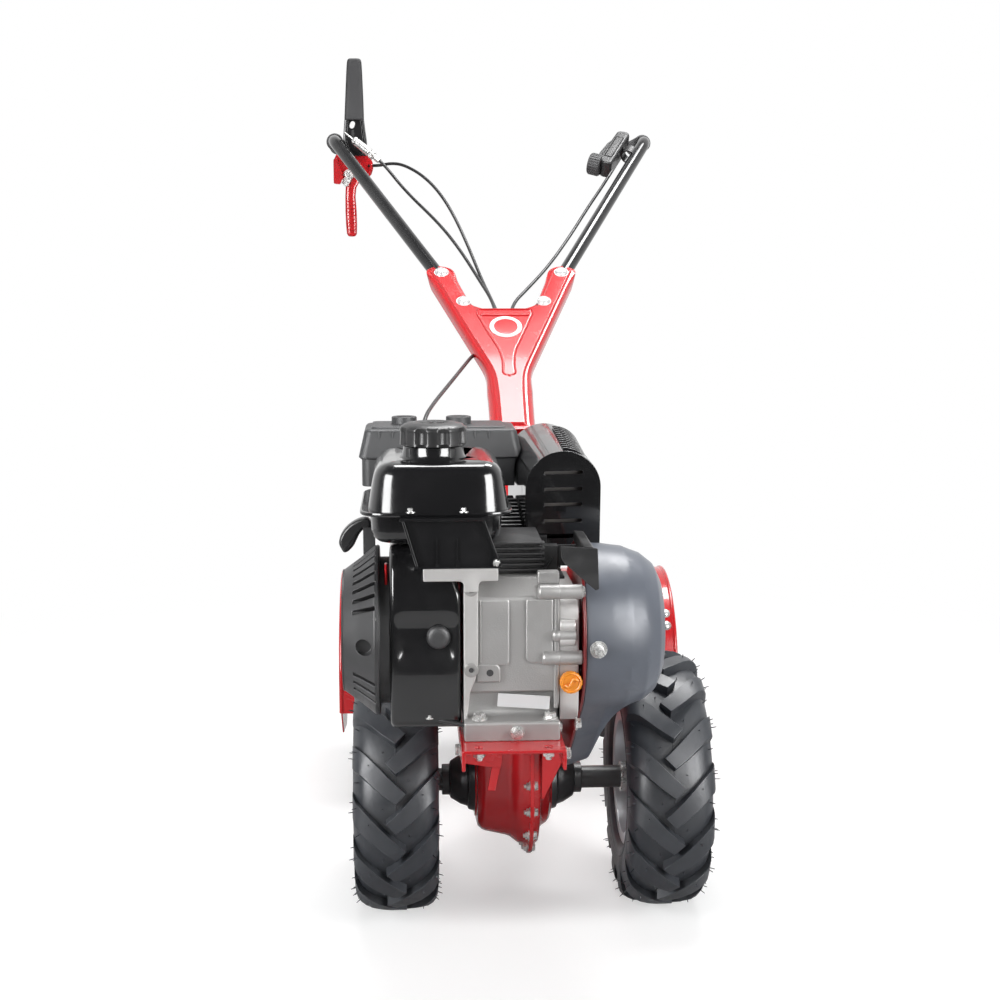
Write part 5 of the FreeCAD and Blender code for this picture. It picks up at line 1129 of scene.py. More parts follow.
class BuildFanSide(bpy.types.Operator):
    """Fan shroud, recoil starter, its slots and the pull grip"""

    bl_idname = "tiller.fan_side"
    bl_label = "Fan and starter"

    def execute(self, context):
        self.shroud()
        dressed("starter_black", context.scene.tiller_edges.sheet, "recoil_starter")
        self.starter()
        self.grip()
        return {"FINISHED"}

    def shroud(self):
        """Glossy drum of sheet with a scooped band and a round boss across its front."""
        low, high, middle = box_of("fan_shroud")
        wide, deep, tall = (high - low) / MM
        outline = divided(round_corners(
            [(3, 8), (14, 0), (deep - 20, 0), (deep, 20), (deep, tall - 30), (deep - 24, tall),
             (26, tall), (5, tall - 22), (0, 150), (0, 60)],
            [10, 14, 18, 20, 26, 26, 26, 40, 60, 60], 7), 5.0)
        ends = [(0, 7.0), (0.7, 3.4), (2.2, 1.2), (4.6, 0.0)]
        stops = ends + [(4.6 + (wide - 9.2) * step / 14, 0.0) for step in range(1, 14)]
        stops += [(wide - x, inset) for x, inset in reversed(ends)]
        rings = []
        for x, inset in stops:
            ring = []
            for at in inset_outline(outline, inset):
                fall = eased(at.y, 136, 118) * eased(at.y, 68, 94)
                scoop = 5.2 * fall * eased(x, 4, 16) * eased(wide - x, 3, 13)
                lean = 6.0 * eased(at.y, 150, 172) * eased(x, wide * 0.5, wide)
                ring.append(low + mm(x - lean, at.x + scoop * (1 - eased(at.x, 16, 30)), at.y))
            rings.append(ring)
        stands_for("fan_shroud", loft(rings), "gloss_black", angle=48)
        boss = turned([(-8, 13.6), (1.0, 13.2), (3.4, 12.0), (4.8, 9.4), (5.2, 5.0)],
                      low + mm(53.5, 4.4, 106), -ALONG, 48)
        put("shroud_boss", boss, "starter_black", angle=50)
        tab = soft_box(Vector((low.x, middle.y, low.z)) + mm(-4, -50, 166), (3, 10, 34), 0.9)
        put("stop_tab", tab, "red_enamel")

    def starter(self):
        """Ribs on the starter's round face, its centre cap and its rim bolts."""
        low, high, middle = box_of("recoil_starter")
        axle = Vector((low.x, middle.y, box_of("fan_shroud")[0].z + 96 * MM))
        rib = soft_box(mm(-0.6, 0, 46), (2.6, 3.4, 40), 1.0)
        ring_of("starter_ribs", rib, "starter_black", "chassis", axle, 14)
        cap = turned([(-1, 24), (2.2, 24), (3.4, 22.6), (3.4, 19), (2.4, 17.6)], axle, -ACROSS, 64)
        put("starter_cap", cap, "starter_black")
        ring = turned([(-1.5, 66.5), (1.8, 66.5), (2.4, 67.2), (2.4, 69.2), (1.8, 69.8),
                       (-1.5, 69.8)], axle + mm(0.4), -ACROSS, 112, closed=True)
        put("starter_ring", ring, "starter_black")
        edge = axle + ACROSS * (high.x - low.x - 14 * MM)
        fasteners("starter_bolts", [
            (edge + (ALONG * -math.cos(turn) + UP * math.sin(turn)) * 91 * MM, -ACROSS, 6.4)
            for turn in map(math.radians, (20, 140, 262))])
        line = turned([(0, 96.9), (0, 97.6), (1.6, 97.6), (1.6, 96.9)], edge + mm(0.8), -ACROSS,
                      128, closed=True)
        put("starter_rim_line", line, "starter_black")

    def grip(self):
        """Hooked pull grip, moulded round the rope's end, with the rope."""
        low, high, middle = box_of("pull_grip")
        base = Vector((high.x, middle.y, high.z)) - mm(6, 0, 11.5)
        wide = (high.y - low.y) / MM / 2
        body = plates(lambda x, z, y: base + mm(-x, y, z), (
            [(6.5, -8), (13, -22), (20, -29), (25, -30.5), (31.5, -19), (28, -8), (21, 1),
             (12, 7.5), (2, 11.4), (-6, 10.2), (-8.5, 2), (-5, -4), (1, -1.5)],
            [3, 4, 3, 3, 6, 8, 8, 8, 6, 4, 4, 3, 4], 5,
            [(3.4, -wide), (1.2, 0.9 - wide), (0, 3.2 - wide), (0, wide - 3.2),
             (1.2, wide - 0.9), (3.4, wide)]))
        stands_for("pull_grip", body, "dark_moulding", angle=40)
        rope = [base + mm(x, 0, z) for x, z in ((2, -34), (2, -20), (1, -6), (-2, 4))]
        put("starter_rope", spline_mesh(rope, 2.6, "rope"), "sheath")


class BuildTank(bpy.types.Operator):
    """Fuel tank, filler cap and the stand below"""

    bl_idname = "tiller.tank"
    bl_label = "Fuel tank"

    def execute(self, context):
        low, high, _ = box_of("fuel_tank")
        far = Vector((high.x, high.y, low.z))
        cap_low, cap_high, cap = box_of("fuel_cap")
        seam, roof = 36, 92
        # upper half: walls that lean in, a wide shoulder and a crowned roof
        shell = boxed(low + mm(9, 4, seam), far + mm(-4, -4, roof), 38, [
            (0.0, 0.0), (0.08, 0.4), (0.38, 3.0), (0.62, 5.4), (0.74, 7.2), (0.83, 9.6),
            (0.90, 13.2), (0.945, 17.6), (0.975, 24.5), (0.99, 36), (1.0, 52)], 8)
        boxed(low + mm(11, 16), far + mm(-11, -11, seam), 30, [
            (0.0, 16), (0.05, 9), (0.18, 3.4), (0.4, 1.0), (1.0, 0)], bm=shell)
        # lip that is folded over along the seam
        boxed(low + mm(0, 0, seam - 2.4), far + mm(0, 0, seam + 2.4), 34, [
            (0, 2.2), (0.12, 0.5), (0.46, 0), (0.49, 0.9), (0.53, 0.9), (0.56, 0), (0.88, 0.5),
            (1, 2.2)], bm=shell)
        turned([(-6, 40), (-1.0, 38.5), (2.0, 35.4), (9.0, 34.0), (12.4, 34.0)],
               Vector((cap.x, cap.y, low.z + roof * MM)), UP, 72, bm=shell)
        stands_for("fuel_tank", shell, "gloss_black", angle=40)
        self.cap(Vector((cap.x, cap.y, cap_low.z)), (cap_high.x - cap_low.x) / 2 / MM,
                 (cap_high.z - cap_low.z) / MM)
        seats = [corner + mm(across, inwards, seam + 2.4)
                 for corner, inwards in ((low, 8.5), (Vector((low.x, high.y, low.z)), -8.5))
                 for across in (56, 114)]
        fasteners("tank_bolts", [(seat, UP, 6.6) for seat in seats])
        fasteners("tank_studs", [(seat - mm(0, 0, 5), -UP, 6.6) for seat in seats], "nut")
        self.stand()
        return {"FINISHED"}

    def cap(self, base, radius, height):
        """Filler cap with broad grips round its skirt, a dished top and its neck clips."""
        def lobes(reach, along, turn):
            """Scoops the skirt between its broad grips."""
            if reach < (radius - 6) * MM:
                return reach
            scoop = max(0.0, math.cos(9 * turn + 0.4)) ** 0.6
            return reach - 3.4 * MM * scoop * eased(along / MM / height, 0.02, 0.14) * (
                1 - eased(along / MM / height, 0.66, 0.86))

        # (share of the height, drop below it, how far inside the radius)
        profile = [(height * share - drop, radius - inside) for share, drop, inside in (
            (0, -0.3, 1.6), (0, -1.2, 0), (0, -3.4, 0), (0, -3.8, 0.1), (0.60, 0, 0.6),
            (0.64, 0, 0), (0.72, 0, 0), (0.80, 0, 0.8), (0.90, 0, 4.5), (0.97, 0, 10.5),
            (1, 0, 17), (1, 0.8, 20), (1, 2, 21.5))]
        stands_for("fuel_cap", turned(profile, base, UP, 160, lobes), "dark_moulding", angle=34)
        clip = soft_box(mm(0, radius - 3.2, -7), (7, 3.4, 10), 0.8)
        ring_of("neck_clips", clip, "dark_moulding", "chassis", base, 4, math.pi / 5, axis=UP)
        rib = soft_box(mm(0, 0, height - 1.6), (26, 3.0, 2.0), 0.8)
        ring_of("cap_ribs", rib, "dark_moulding", "chassis", base, 2, 0.3, math.pi / 2, UP)

    def stand(self):
        """Folded glossy stand that leans to the crankcase's shelf, with flanged sides."""
        low, high, _ = box_of("tank_stand")
        place = seen_from_front(low + mm(0, 4))
        deep = (high.y - low.y) / MM
        flanges = []
        for lower, upper in (((21.5, 2), (6.5, 53)), ((111.5, 2), (93.5, 53))):
            lower, upper = Vector(lower), Vector(upper)
            run = (upper - lower).normalized()
            side = Vector((run.y, -run.x)) * 1.3
            flanges.append(([lower + side, upper + side, upper - side, lower - side], 0.9, 3,
                            [(0.5, -4.0), (0, -3.4), (0, 40)]))
        ribs = [([(x, 0), (x + 2.4, 0), (x + 2.0, 32), (x + 0.4, 32)], 0.7, 2,
                 [(0.4, -1.6), (0, -1.0), (0, 2)]) for x in (42, 64)]
        bm = plates(
            place,
            ([(22, 0), (113, 0), (113, 4), (94, 55), (7, 55), (22, 4)], [1, 1, 3, 2, 2, 3], 3,
             [(1.0, 0), (0, 1.0), (0, 3.0)]),
            ([(3, 52), (100, 52), (100, 55), (3, 55)], 1.0, 2,
             [(0.6, -3.6), (0, -3.0), (0, deep - 4)]),
            *flanges, *ribs,
            ([(18, 0), (113, 0), (113, 2.6), (18, 2.6)], 0.8, 2,
             [(0.4, -3.6), (0, -3.0), (0, 44)]))
        stands_for("tank_stand", bm, "gloss_black", angle=34)
        fasteners("stand_bolts", [
            (place(107.5, 6, -2), Vector((0.5, -0.7, -0.3)).normalized(), 4.4)])


class BuildAirCleaner(bpy.types.Operator):
    """Air cleaner box, ribbed lid, knobs and clips"""

    bl_idname = "tiller.air_cleaner"
    bl_label = "Air cleaner"

    def execute(self, context):
        dressed("cleaner_grey", 1.2 * MM, "air_cleaner_base", "air_cleaner_cover")
        low, high, middle = box_of("air_cleaner_cover")
        tray_low, tray_high, _ = box_of("air_cleaner_base")
        roof = high.z - 12 * MM
        relief_from = box_of("heat_shield")[0].x - 2 * MM
        # a raised panel and ribs on the lid, clear of the shield
        panel = boxed(Vector((low.x, low.y, roof)) + mm(16, 15, -1),
                      Vector((relief_from, high.y, roof)) + mm(-6, -15, 2.6), 9,
                      [(0, -2.2), (0.3, -0.8), (0.72, 0.2), (0.93, 0.8), (1.0, 2.4)])
        put("lid_panel", panel, "cleaner_grey", angle=40)
        for name, across in (("left", 57.0), ("right", 126.0)):
            self.knob(name, Vector((low.x + across * MM, middle.y, roof + 2.2 * MM)))
        rib = soft_box(Vector((low.x, low.y, roof)) + mm(26, 6.5, -8), (3, 2.6, 12), 0.8)
        row_of("lid_front_ribs", rib, "cleaner_grey", 9, mm(17))
        seam = boxed(Vector((tray_low.x, tray_low.y, low.z)) - mm(2.4, 2.4, 1.8),
                     Vector((relief_from, tray_high.y, low.z)) + mm(-1, 2.4, 1.4), 11,
                     [(0, 1.2), (0.2, 0.3), (0.8, 0.3), (1.0, 1.2)])
        put("cleaner_seam", seam, "cleaner_grey", angle=40)
        clip = soft_box(Vector((tray_low.x, tray_low.y, low.z)) + mm(46, -3, -4), (15, 4, 19), 1.4)
        row_of("cleaner_clips", clip, "satin_black", 2, mm(78))
        return {"FINISHED"}

    def knob(self, name, centre):
        """A round knob with a finger bar across its top."""
        def lobes(radius, along, turn):
            """Scoops the knob's side between its grips."""
            if not 0.4 * MM < along < 8.8 * MM or radius < 12 * MM:
                return radius
            return radius - 2.2 * MM * max(0.0, math.cos(6 * turn + 0.5)) ** 0.6

        knob = turned([(-1.5, 17.4), (0.8, 17.2), (1.6, 15.8), (6.8, 15.0), (8.6, 14.2),
                       (9.4, 12.8), (9.4, 8.6), (7.6, 7.6)], centre, UP, shape=lobes)
        soft_box(centre + mm(0, 0, 8.2), (21, 5.4, 5.0), 1.5, bm=knob)
        put(f"cleaner_knob_{name}", knob, "satin_black", angle=34)


class BuildMuffler(bpy.types.Operator):
    """Heat shield with its louvres, the muffler inside, the stay and the air guide"""

    bl_idname = "tiller.muffler"
    bl_label = "Muffler"

    def execute(self, context):
        dressed("gloss_black", 0.7 * MM, "heat_shield", flat=0.2)
        # the muffler takes steel darkened as painted shade
        dressed("exhaust_steel", 0.9 * MM, "muffler")
        dressed("satin_black", context.scene.tiller_edges.sheet, "muffler_stay")
        self.louvres()
        self.air_guide()
        fasteners("stay_bolts", marks_on("muffler_stay", -ALONG, 7.0, (12, 0, 18))
                  + marks_on("muffler_stay", -ALONG, 6.0, (44, 0, 36)))
        return {"FINISHED"}

    def louvres(self):
        """Louvre hoods that stand over the slots on the shoulder, each a bent strip."""
        tilt = math.radians(5)
        start = spot("heat_shield", 49.4, 12, 3)
        tall, half = 117.0, 45.5
        rings = []
        for part in range(9):
            turn = math.radians(40 + 44 * part / 8)
            out = Vector((math.cos(turn), 0, math.sin(turn)))
            centre = UP * (tall - half) + out * (half + 0.9)
            lift = 1.5 * math.sin(math.pi * (part + 0.35) / 8.7)
            rings.append([start + (centre + out * rise + ALONG * along) * MM for rise, along in (
                (-1.5, -2.4), (lift, -2.2), (lift + 0.5, 0.4), (-1.2, 2.6))])
        row_of("shield_louvres", loft(rings), "gloss_black", 12,
               Vector((0, math.cos(tilt), math.sin(tilt))) * 12.33 * MM, edge=0.3 * MM)

    def air_guide(self):
        """Air guide below the shield: a ribbed pillar and a blade that points down."""
        bm = plates(
            seen_from_front(spot("heat_shield", 0, -122, 0)),
            ([(34.9, 34), (75.5, 31.2), (77.5, -14), (73.6, -15.6), (50.7, 4.6), (38.1, 15.8),
              (35.5, 22)], [1, 2, 1.2, 1.2, 6, 5, 3], 4, [(0.8, -48), (0, -47.2), (0, -45.6)]),
            ([(60, 33), (72, 32), (74, 0), (70, 2), (60, 22)], 2, 3, [(0, -46), (0, 60)]),
            ([(16, 26), (37, 26), (37, -9), (16, -9)], 1.0, 2, [(0.8, 3), (0, 3.8), (0, 16)]),
            ([(14, -9.5), (17, -9.5), (31, 12), (29.4, 13)], 0.6, 2,
             [(0.4, -0.6), (0, 0), (0, 4)]),
            ([(12, -11.5), (44, -11.5), (44, -8.5), (12, -8.5)], 0.9, 2,
             [(0.4, -2), (0, -1.4), (0, 30)]),
            ([(37, 26), (58, 26), (58, 2), (37, 2)], 1.0, 2, [(0.5, 6), (0, 6.5), (0, 9)]))
        put("air_guide", bm, "dark_moulding", angle=34)


class BuildBeltDrive(bpy.types.Operator):
    """Belt cover and its back plate"""

    bl_idname = "tiller.belt_drive"
    bl_label = "Belt cover"

    def execute(self, context):
        dressed("cover_grey", 2.2 * MM, "belt_cover", segments=3, flat=0.4, angle=20)
        dressed("deep_enamel", context.scene.tiller_edges.sheet, "belt_backplate")
        facing = Vector((0.05, -1, 0.08)).normalized()
        seat = spot("belt_cover", 13.0, -1.2, 213.2)
        fasteners("belt_cover_washers", [(seat, facing, 9.6)], "washer")
        fasteners("belt_cover_bolts", [(seat + facing * 1.2 * MM, facing, 7.4)])
        return {"FINISHED"}


# ------------------------------ tiller behind

class BuildTiller(bpy.types.Operator):
    """Drive housing, tiller case, hood, tine rotors and depth spur"""

    bl_idname = "tiller.tiller"
    bl_label = "Tiller behind"

    def execute(self, context):
        edges = context.scene.tiller_edges
        dressed("red_enamel", edges.casting, "drive_housing", "tiller_case", flat=0.3)
        dressed("red_enamel", 0.7 * MM, "tiller_hood", flat=0.2)
        dressed("red_enamel", 0.7 * MM, "hood_skirt_left", "hood_skirt_right")
        dressed("coated_steel", edges.sheet, "tine_rotor_left", "tine_rotor_right", "rotor_shaft",
                "spur_bracket")
        dressed("coated_steel", 1.0 * MM, "depth_spur")
        dressed("zinc", 0.6 * MM, "pivot_bolt")
        dressed("red_enamel", 1.2 * MM, "column_yoke")
        self.hood()
        self.bolts()
        axle = box_of("rotor_shaft")[2]
        for side, sign in SIDES:
            collar = turned([(0, 15.6), (0, 22), (12, 22), (13, 21), (13, 15.6)],
                            Vector((sign * 206 * MM, axle.y, axle.z)), ACROSS * sign, 40,
                            closed=True)
            put(f"rotor_collar_{side}", collar, "coated_steel", "rotor", edge=0.6 * MM)
        return {"FINISHED"}

    def hood(self):
        """Rolled rims along the hood's ends, its stiffening beads and its bolts."""
        low, high, middle = box_of("tiller_hood")
        radius = (high.y - low.y) / 2
        axle = Vector((0, middle.y, high.z - radius))

        def way(turn):
            """The way out from the hood's axis, turned from its front edge."""
            return Vector((0, -math.cos(turn), math.sin(turn)))

        circle = [2 * math.pi * part / 10 for part in range(10)]
        drop = mm(0, 0, 41)
        for side, sign in SIDES:
            edge = (low.x if sign < 0 else high.x) - sign * 1.0 * MM
            rings = []
            for out in (way(math.pi * step / 60) for step in range(61)):
                centre = axle + ACROSS * edge + out * radius
                rings.append([centre + ACROSS * math.cos(angle) * 3.4 * MM
                              + out * (math.sin(angle) * 3.4 - 1.4) * MM for angle in circle])
            rings = [[point - drop for point in rings[0]], *rings,
                     [point - drop for point in rings[-1]]]
            put(f"hood_rim_{side}", loft(rings), "red_enamel", angle=40)
            rings = []
            for step in range(49):
                out = way(math.pi * (0.06 + 0.88 * step / 48))
                centre = axle + mm(sign * 168) + out * (radius - 0.6 * MM)
                rise = min(1.0, step / 3, (48 - step) / 3)
                rings.append([centre + mm(x) + out * (z * rise - 0.4) * MM
                              for x, z in ((-7, 0), (-4.6, 1.6), (-2, 2.6), (2, 2.6), (4.6, 1.6),
                                           (7, 0), (4, -1), (-4, -1))])
            put(f"hood_bead_{side}", loft(rings), "red_enamel", angle=40)
        marks = []
        for places, angles, size in (((-246, 246), (34, 42, 116, 140), 7.6),
                                     ((-62, -44, 44, 62), (22, 96), 7.4)):
            marks += [(axle + mm(across) + out * radius, out, size)
                      for across in places for out in map(way, map(math.radians, angles))]
        fasteners("hood_bolts", marks, "dome")

    def bolts(self):
        """Bolts round the tiller case, the drive housing's flange, the pivot and the spur."""
        low, high, _ = box_of("tiller_case")
        circle = [2 * math.pi * (step + 0.5) / 8 for step in range(8)]
        fasteners("tiller_case_bolts", [
            (Vector((face, high.y - (56 - math.cos(turn) * 47) * MM,
                     low.z + (60 + math.sin(turn) * 47) * MM)), way, 6.2)
            for turn in circle for face, way in ((low.x, -ACROSS), (high.x, ACROSS))])
        _, high, middle = box_of("drive_housing")
        fasteners("housing_bolts", [
            (Vector((0, high.y, middle.z)) + mm(math.cos(turn) * 31.5, -8, math.sin(turn) * 31.5),
             -ALONG, 6.2) for turn in (2 * math.pi * step / 6 for step in range(6))])
        low, high, _ = box_of("pivot_bolt")
        fasteners("pivot_nuts", [(low + mm(1.0, 8, 8), -ACROSS, 12.5),
                                 (high - mm(1.0, 8, 8), ACROSS, 12.5)])
        spur = box_of("spur_bracket")[1]
        fasteners("spur_bolts", [(Vector((0, spur.y, spur.z)) + mm(across, -49, -up), ALONG, 7.0)
                                 for across in (-25, 25) for up in (14, 82)])


# ------------------------------ column and handlebars

COLUMN_TILT = math.radians(36.5)
COLUMN_DEPTH, TAIL_REACH = 22, 26
UP_COLUMN = Vector((0, math.cos(COLUMN_TILT), math.sin(COLUMN_TILT)))
OFF_COLUMN = Vector((0, -math.sin(COLUMN_TILT), math.cos(COLUMN_TILT)))


def on_column(across, reach, depth=0.0):
    """A place on the pressed column: across, up along its slope, and below its face."""
    low = box_of("handle_column")[0]
    tail = Vector((0, low.y, low.z + COLUMN_DEPTH * math.cos(COLUMN_TILT) * MM))
    return tail + (ACROSS * across + UP_COLUMN * (reach + TAIL_REACH) - OFF_COLUMN * depth) * MM


class BuildColumn(bpy.types.Operator):
    """Pressed Y-shaped column with its raised panel, blank badge and bolts"""

    bl_idname = "tiller.column"
    bl_label = "Handle column"

    def execute(self, context):
        low, high, _ = box_of("column_leg")
        half = (high.x - low.x) / 2 / MM
        outer = box_of("handle_column")[1].x / MM
        right = [(half, -TAIL_REACH), (half + 1, 60), (half + 4, 98), (outer, 355),
                 (outer - 22.5, 367), (outer - 45, 359), (46, 254)]
        corners = right + [(-x, reach) for x, reach in reversed(right)]
        radii = [12, 60, 60, 15, 15, 15, 26]
        self.shell(divided(round_corners(corners, radii + radii[::-1], 8), 9.0))
        dressed("red_enamel", 1.2 * MM, "column_leg")
        self.panel()
        fasteners("column_bolts", [
            (on_column(sign * across, reach, 0.3), OFF_COLUMN, 12.0)
            for across, reach in ((97, 344.5), (63.3, 269.3)) for sign in (-1, 1)],
            "dome", "bright_zinc", "handlebar")
        return {"FINISHED"}

    def shell(self, outline):
        """The pressed sheet: a flat face, broad shoulders and a flange all round."""
        def room(point):
            """How deep the flange reaches at a point of the outline."""
            return (COLUMN_DEPTH - 17.5 * eased(point.y, 326, 350)
                    - 12 * eased(point.y, 236, 252) * (1 - eased(abs(point.x), 38, 52))
                    - 17 * (1 - eased(point.y, -24, -14)))

        def splay(point):
            """How far the stem's flanges lean outwards at a point of the outline."""
            return math.copysign(6.5 * (1 - eased(point.y, 60, 130)), point.x)

        bm = bmesh.new()
        levels = []
        for inset, depth in ((10.6, 0.0), (9.8, 0.35), (7.6, 2.9), (6.9, 3.3), (5.0, 3.6),
                             (3.2, 4.6), (1.6, 6.6), (0.5, 9.6), (0.0, 13.0), (0.0, 22.0),
                             (2.2, 22.0), (2.2, 13.4), (3.0, 9.8), (4.6, 7.2), (7.0, 6.0),
                             (10.6, 3.0)):
            levels.append([bm.verts.new(on_column(
                at.x + splay(rim) * min(1.0, depth / 13), at.y,
                depth if depth < 4 else max(3.8, depth * room(rim) / COLUMN_DEPTH)))
                for at, rim in zip(inset_outline(outline, inset), outline)])
        for lower, upper in zip(levels, levels[1:]):
            ring_strip(bm, lower, upper)
        face = [Vector((point.x, point.y, 0)) for point in inset_outline(outline, 10.6)]
        for corners in tessellate_polygon([face]):
            for level in (levels[0], levels[-1]):
                bm.faces.new([level[corner] for corner in corners])
        bmesh.ops.recalc_face_normals(bm, faces=bm.faces)
        stands_for("handle_column", bm, "red_enamel", angle=50)

    def panel(self):
        """Raised outline like a spoon, with a bar across its top and a blank round badge."""
        outline = round_corners(
            [(-10.5, 118), (-12, 92), (0, 84), (12, 92), (10.5, 118), (14, 146), (26, 178),
             (47, 238), (44, 250), (-44, 250), (-47, 238), (-26, 178), (-14, 146)],
            [14, 9, 9, 9, 14, 20, 24, 6, 5, 5, 6, 24, 20], 5)
        bar = round_corners([(-39, 229.6), (39, 229.6), (39, 237.4), (-39, 237.4)], 3.6)
        for name, line, levels in (
                ("ridge", outline, [(0, 0.5), (0.9, -0.9), (1.9, -1.5), (3.1, -0.9), (3.9, 0.5)]),
                ("well", outline, [(3.6, 0.4), (4.6, -0.25), (5.6, -0.3)]),
                ("bar", bar, [(0, 0.3), (0.5, -1.1), (1.6, -2.2), (3.0, -2.6)])):
            put("column_" + name, pressed(line, levels, on_column, closed=name == "ridge"),
                "red_enamel", "handlebar", angle=50)
        centre = on_column(0, 203.5)
        badge = turned([(-0.4, 25.4), (1.0, 25.4), (1.8, 24.6), (1.8, 19.6), (1.2, 19.0)], centre,
                       OFF_COLUMN)
        put("blank_badge", badge, "label", "handlebar", angle=34)
        field = turned([(0, 18.4), (1.5, 18.4), (1.7, 18.0)], centre, OFF_COLUMN, 80)
        put("badge_field", field, "red_enamel", "handlebar", angle=34)


class BuildHandlebars(bpy.types.Operator):
    """Tubes, ribbed grips, clutch and reverse levers, cable adjuster and throttle"""

    bl_idname = "tiller.handlebars"
    bl_label = "Handlebars"

    def execute(self, context):
        for side, _ in SIDES:
            dressed("tube_black", 0, f"handle_tube_{side}", flat=0.05, angle=50)
            self.grip(f"handle_grip_{side}")
        self.clutch()
        self.bracket()
        self.adjuster()
        self.reverse()
        self.throttle()
        return {"FINISHED"}

    def grip(self, node):
        """Rubber grip with rings, a flared collar and a rounded end."""
        low, high, middle = box_of(node)
        length, radius = (high.y - low.y) / MM, (high.x - low.x) / 2 / MM
        profile = [(1.4, 11.2), (0, 11.2), (0, radius - 1.6), (1.2, radius - 0.3),
                   (4.6, radius - 0.3), (6.0, radius - 1.8)]
        rings = 13
        pitch = (length - 16) / rings
        for step in range(rings):
            profile += [(7 + (step + share) * pitch, radius - inside) for share, inside in (
                (0, 2.2), (0.22, 0.8), (0.62, 0.8), (0.84, 2.2))]
        profile += [(length - short, radius - inside) for short, inside in (
            (7.5, 1.2), (5, 0.6), (2, 1.6), (0.4, 4.6), (0, 8))]
        shape = turned(profile, Vector((middle.x, low.y, middle.z)), ALONG, 64)
        stands_for(node, shape, "grip_rubber", angle=50)

    def clutch(self):
        """Channel-shaped lever with an oval hole, and its rubber sleeve."""
        low, high, middle = box_of("clutch_lever")
        tall = (high.z - low.z) / MM
        # from the lever's centre line at its foot, behind the pin's end
        place = seen_from_front(Vector((middle.x, low.y + 4 * MM, low.z)))
        # (height, lean of the centre line, half width, depth) of the channel, from its foot up
        rings = [[place(lean + x, up, y) for x, y in (
            (-half, 1.0), (-half + 1.0, 0), (-half + 4.2, -0.4), (-half + 6.4, 2.6),
            (half - 6.4, 2.6), (half - 4.2, -0.4), (half - 1.0, 0), (half, 1.0), (half, deep),
            (half - 2.2, deep), (half - 2.2, 5.2), (-half + 2.2, 5.2), (-half + 2.2, deep),
            (-half, deep))] for up, lean, half, deep in (
                (0, 3.0, 15, 3), (10, 1.5, 19.6, 5), (26, -0.8, 21.4, 9), (44, -1.4, 19.6, 10),
                (56, -1.6, 18.4, 10), (66, -1.7, 17.4, 9), (84, -1.5, 15.4, 8))]
        hole = turned([(-9, 5.4), (9, 5.4)], place(-5.4, 54.8, 2.6), -ALONG, 36,
                      lambda radius, along, turn: radius * (1.0 + 0.22 * math.cos(2 * turn + 0.7)))
        stands_for("clutch_lever", cut(loft(rings), hole), "tube_black", edge=0.6 * MM)
        # a thin dark sheet where the slot is: painted shade of the opening
        slot = plates(place, ([(-7.4, 28), (-2.0, 28), (-2.6, 46), (-6.8, 46)], 2.0, 6,
                              [(0, 3.0), (0, 2.35)]))
        put("lever_slot", slot, "sheath", "handlebar", angle=34)
        sleeve = round_corners([(-1, -1), (1, -1), (1, 1), (-1, 1)], 0.6, 6)
        rings = [[place(lean + at.x * half, up, 3.6 + at.y * deep) for at in sleeve]
                 for up, lean, half, deep in (
                     (63, -1.8, 16.4, 5.0), (63.8, -1.8, 17.3, 6.0), (67, -1.7, 17.5, 6.4),
                     (96, -1.2, 16.4, 6.6), (120, -0.9, 15.4, 6.5), (146, -0.6, 14.2, 6.4),
                     (158, -0.5, 13.5, 6.2), (tall - 6.0, -0.4, 12.9, 5.9),
                     (tall - 2.4, -0.4, 11.8, 5.2), (tall - 0.5, -0.4, 9.6, 3.8),
                     (tall, -0.4, 6.8, 2.2))]
        put("lever_sleeve", loft(rings), "sleeve_rubber", "handlebar", angle=60)

    def bracket(self):
        """Lever bracket with its folded edges, and its clamp nut."""
        place = seen_from_front(spot("lever_bracket", 0, 0, 0))
        bm = plates(
            place,
            ([(17, 0), (52, 0), (80, 6), (85, 22), (83, 34), (72, 46), (60, 72), (36, 72),
              (12, 36)], [6, 6, 6, 5, 5, 6, 8, 10, 10], 4,
             [(0.8, 0), (0, 0.8), (0, 3.4), (0.8, 4.2)]),
            ([(13, -8), (25, -9), (30, 4), (19, 38), (13, 36)], [3, 3, 5, 4, 4], 4,
             [(0.6, -15), (0, -14.4), (0, 2)]),
            ([(74, 4), (79, 6), (84, 26), (80, 28)], 1.2, 3, [(0.6, -13), (0, -12.4), (0, 2)]))
        stands_for("lever_bracket", bm, "red_enamel", angle=36)
        fasteners("bracket_bolts", [(place(40, 9, -0.4), -ALONG, 9.5)], "nut", body="handlebar")

    def adjuster(self):
        """Cable adjuster: wire, nut, sleeve, hexagon and cable ferrule in line."""
        low, high, _ = box_of("cable_adjuster")
        top = Vector((low.x, high.y, high.z)) + mm(2, -2, -2)
        foot = Vector((high.x, low.y, low.z)) + mm(-2, 2, 2)
        share = (foot - top).length / MM / 78
        bm = bmesh.new()
        # each part as (place along the line, radius) on a line of 78 mm, and its steps round
        for profile, steps in (
                ([(-6 / share, 1.6), (16, 1.6)], 12),
                ([(15, 6.4), (16, 7.2), (20.4, 7.2), (21, 6.4)], 6),
                ([(21.5, 6.6), (22.5, 7.6), (54, 7.6), (55, 6.6)], 40),
                ([(55.4, 7.6), (56.4, 8.6), (62.6, 8.6), (63.6, 7.6)], 6),
                ([(63.8, 4.6), (68, 4.6), (68.6, 5.4), (76, 5.2), (78, 4.2)], 28)):
            turned([(along * share, radius) for along, radius in profile], top,
                   (foot - top).normalized(), steps, bm=bm)
        stands_for("cable_adjuster", bm, "zinc", edge=0.3 * MM, angle=28)

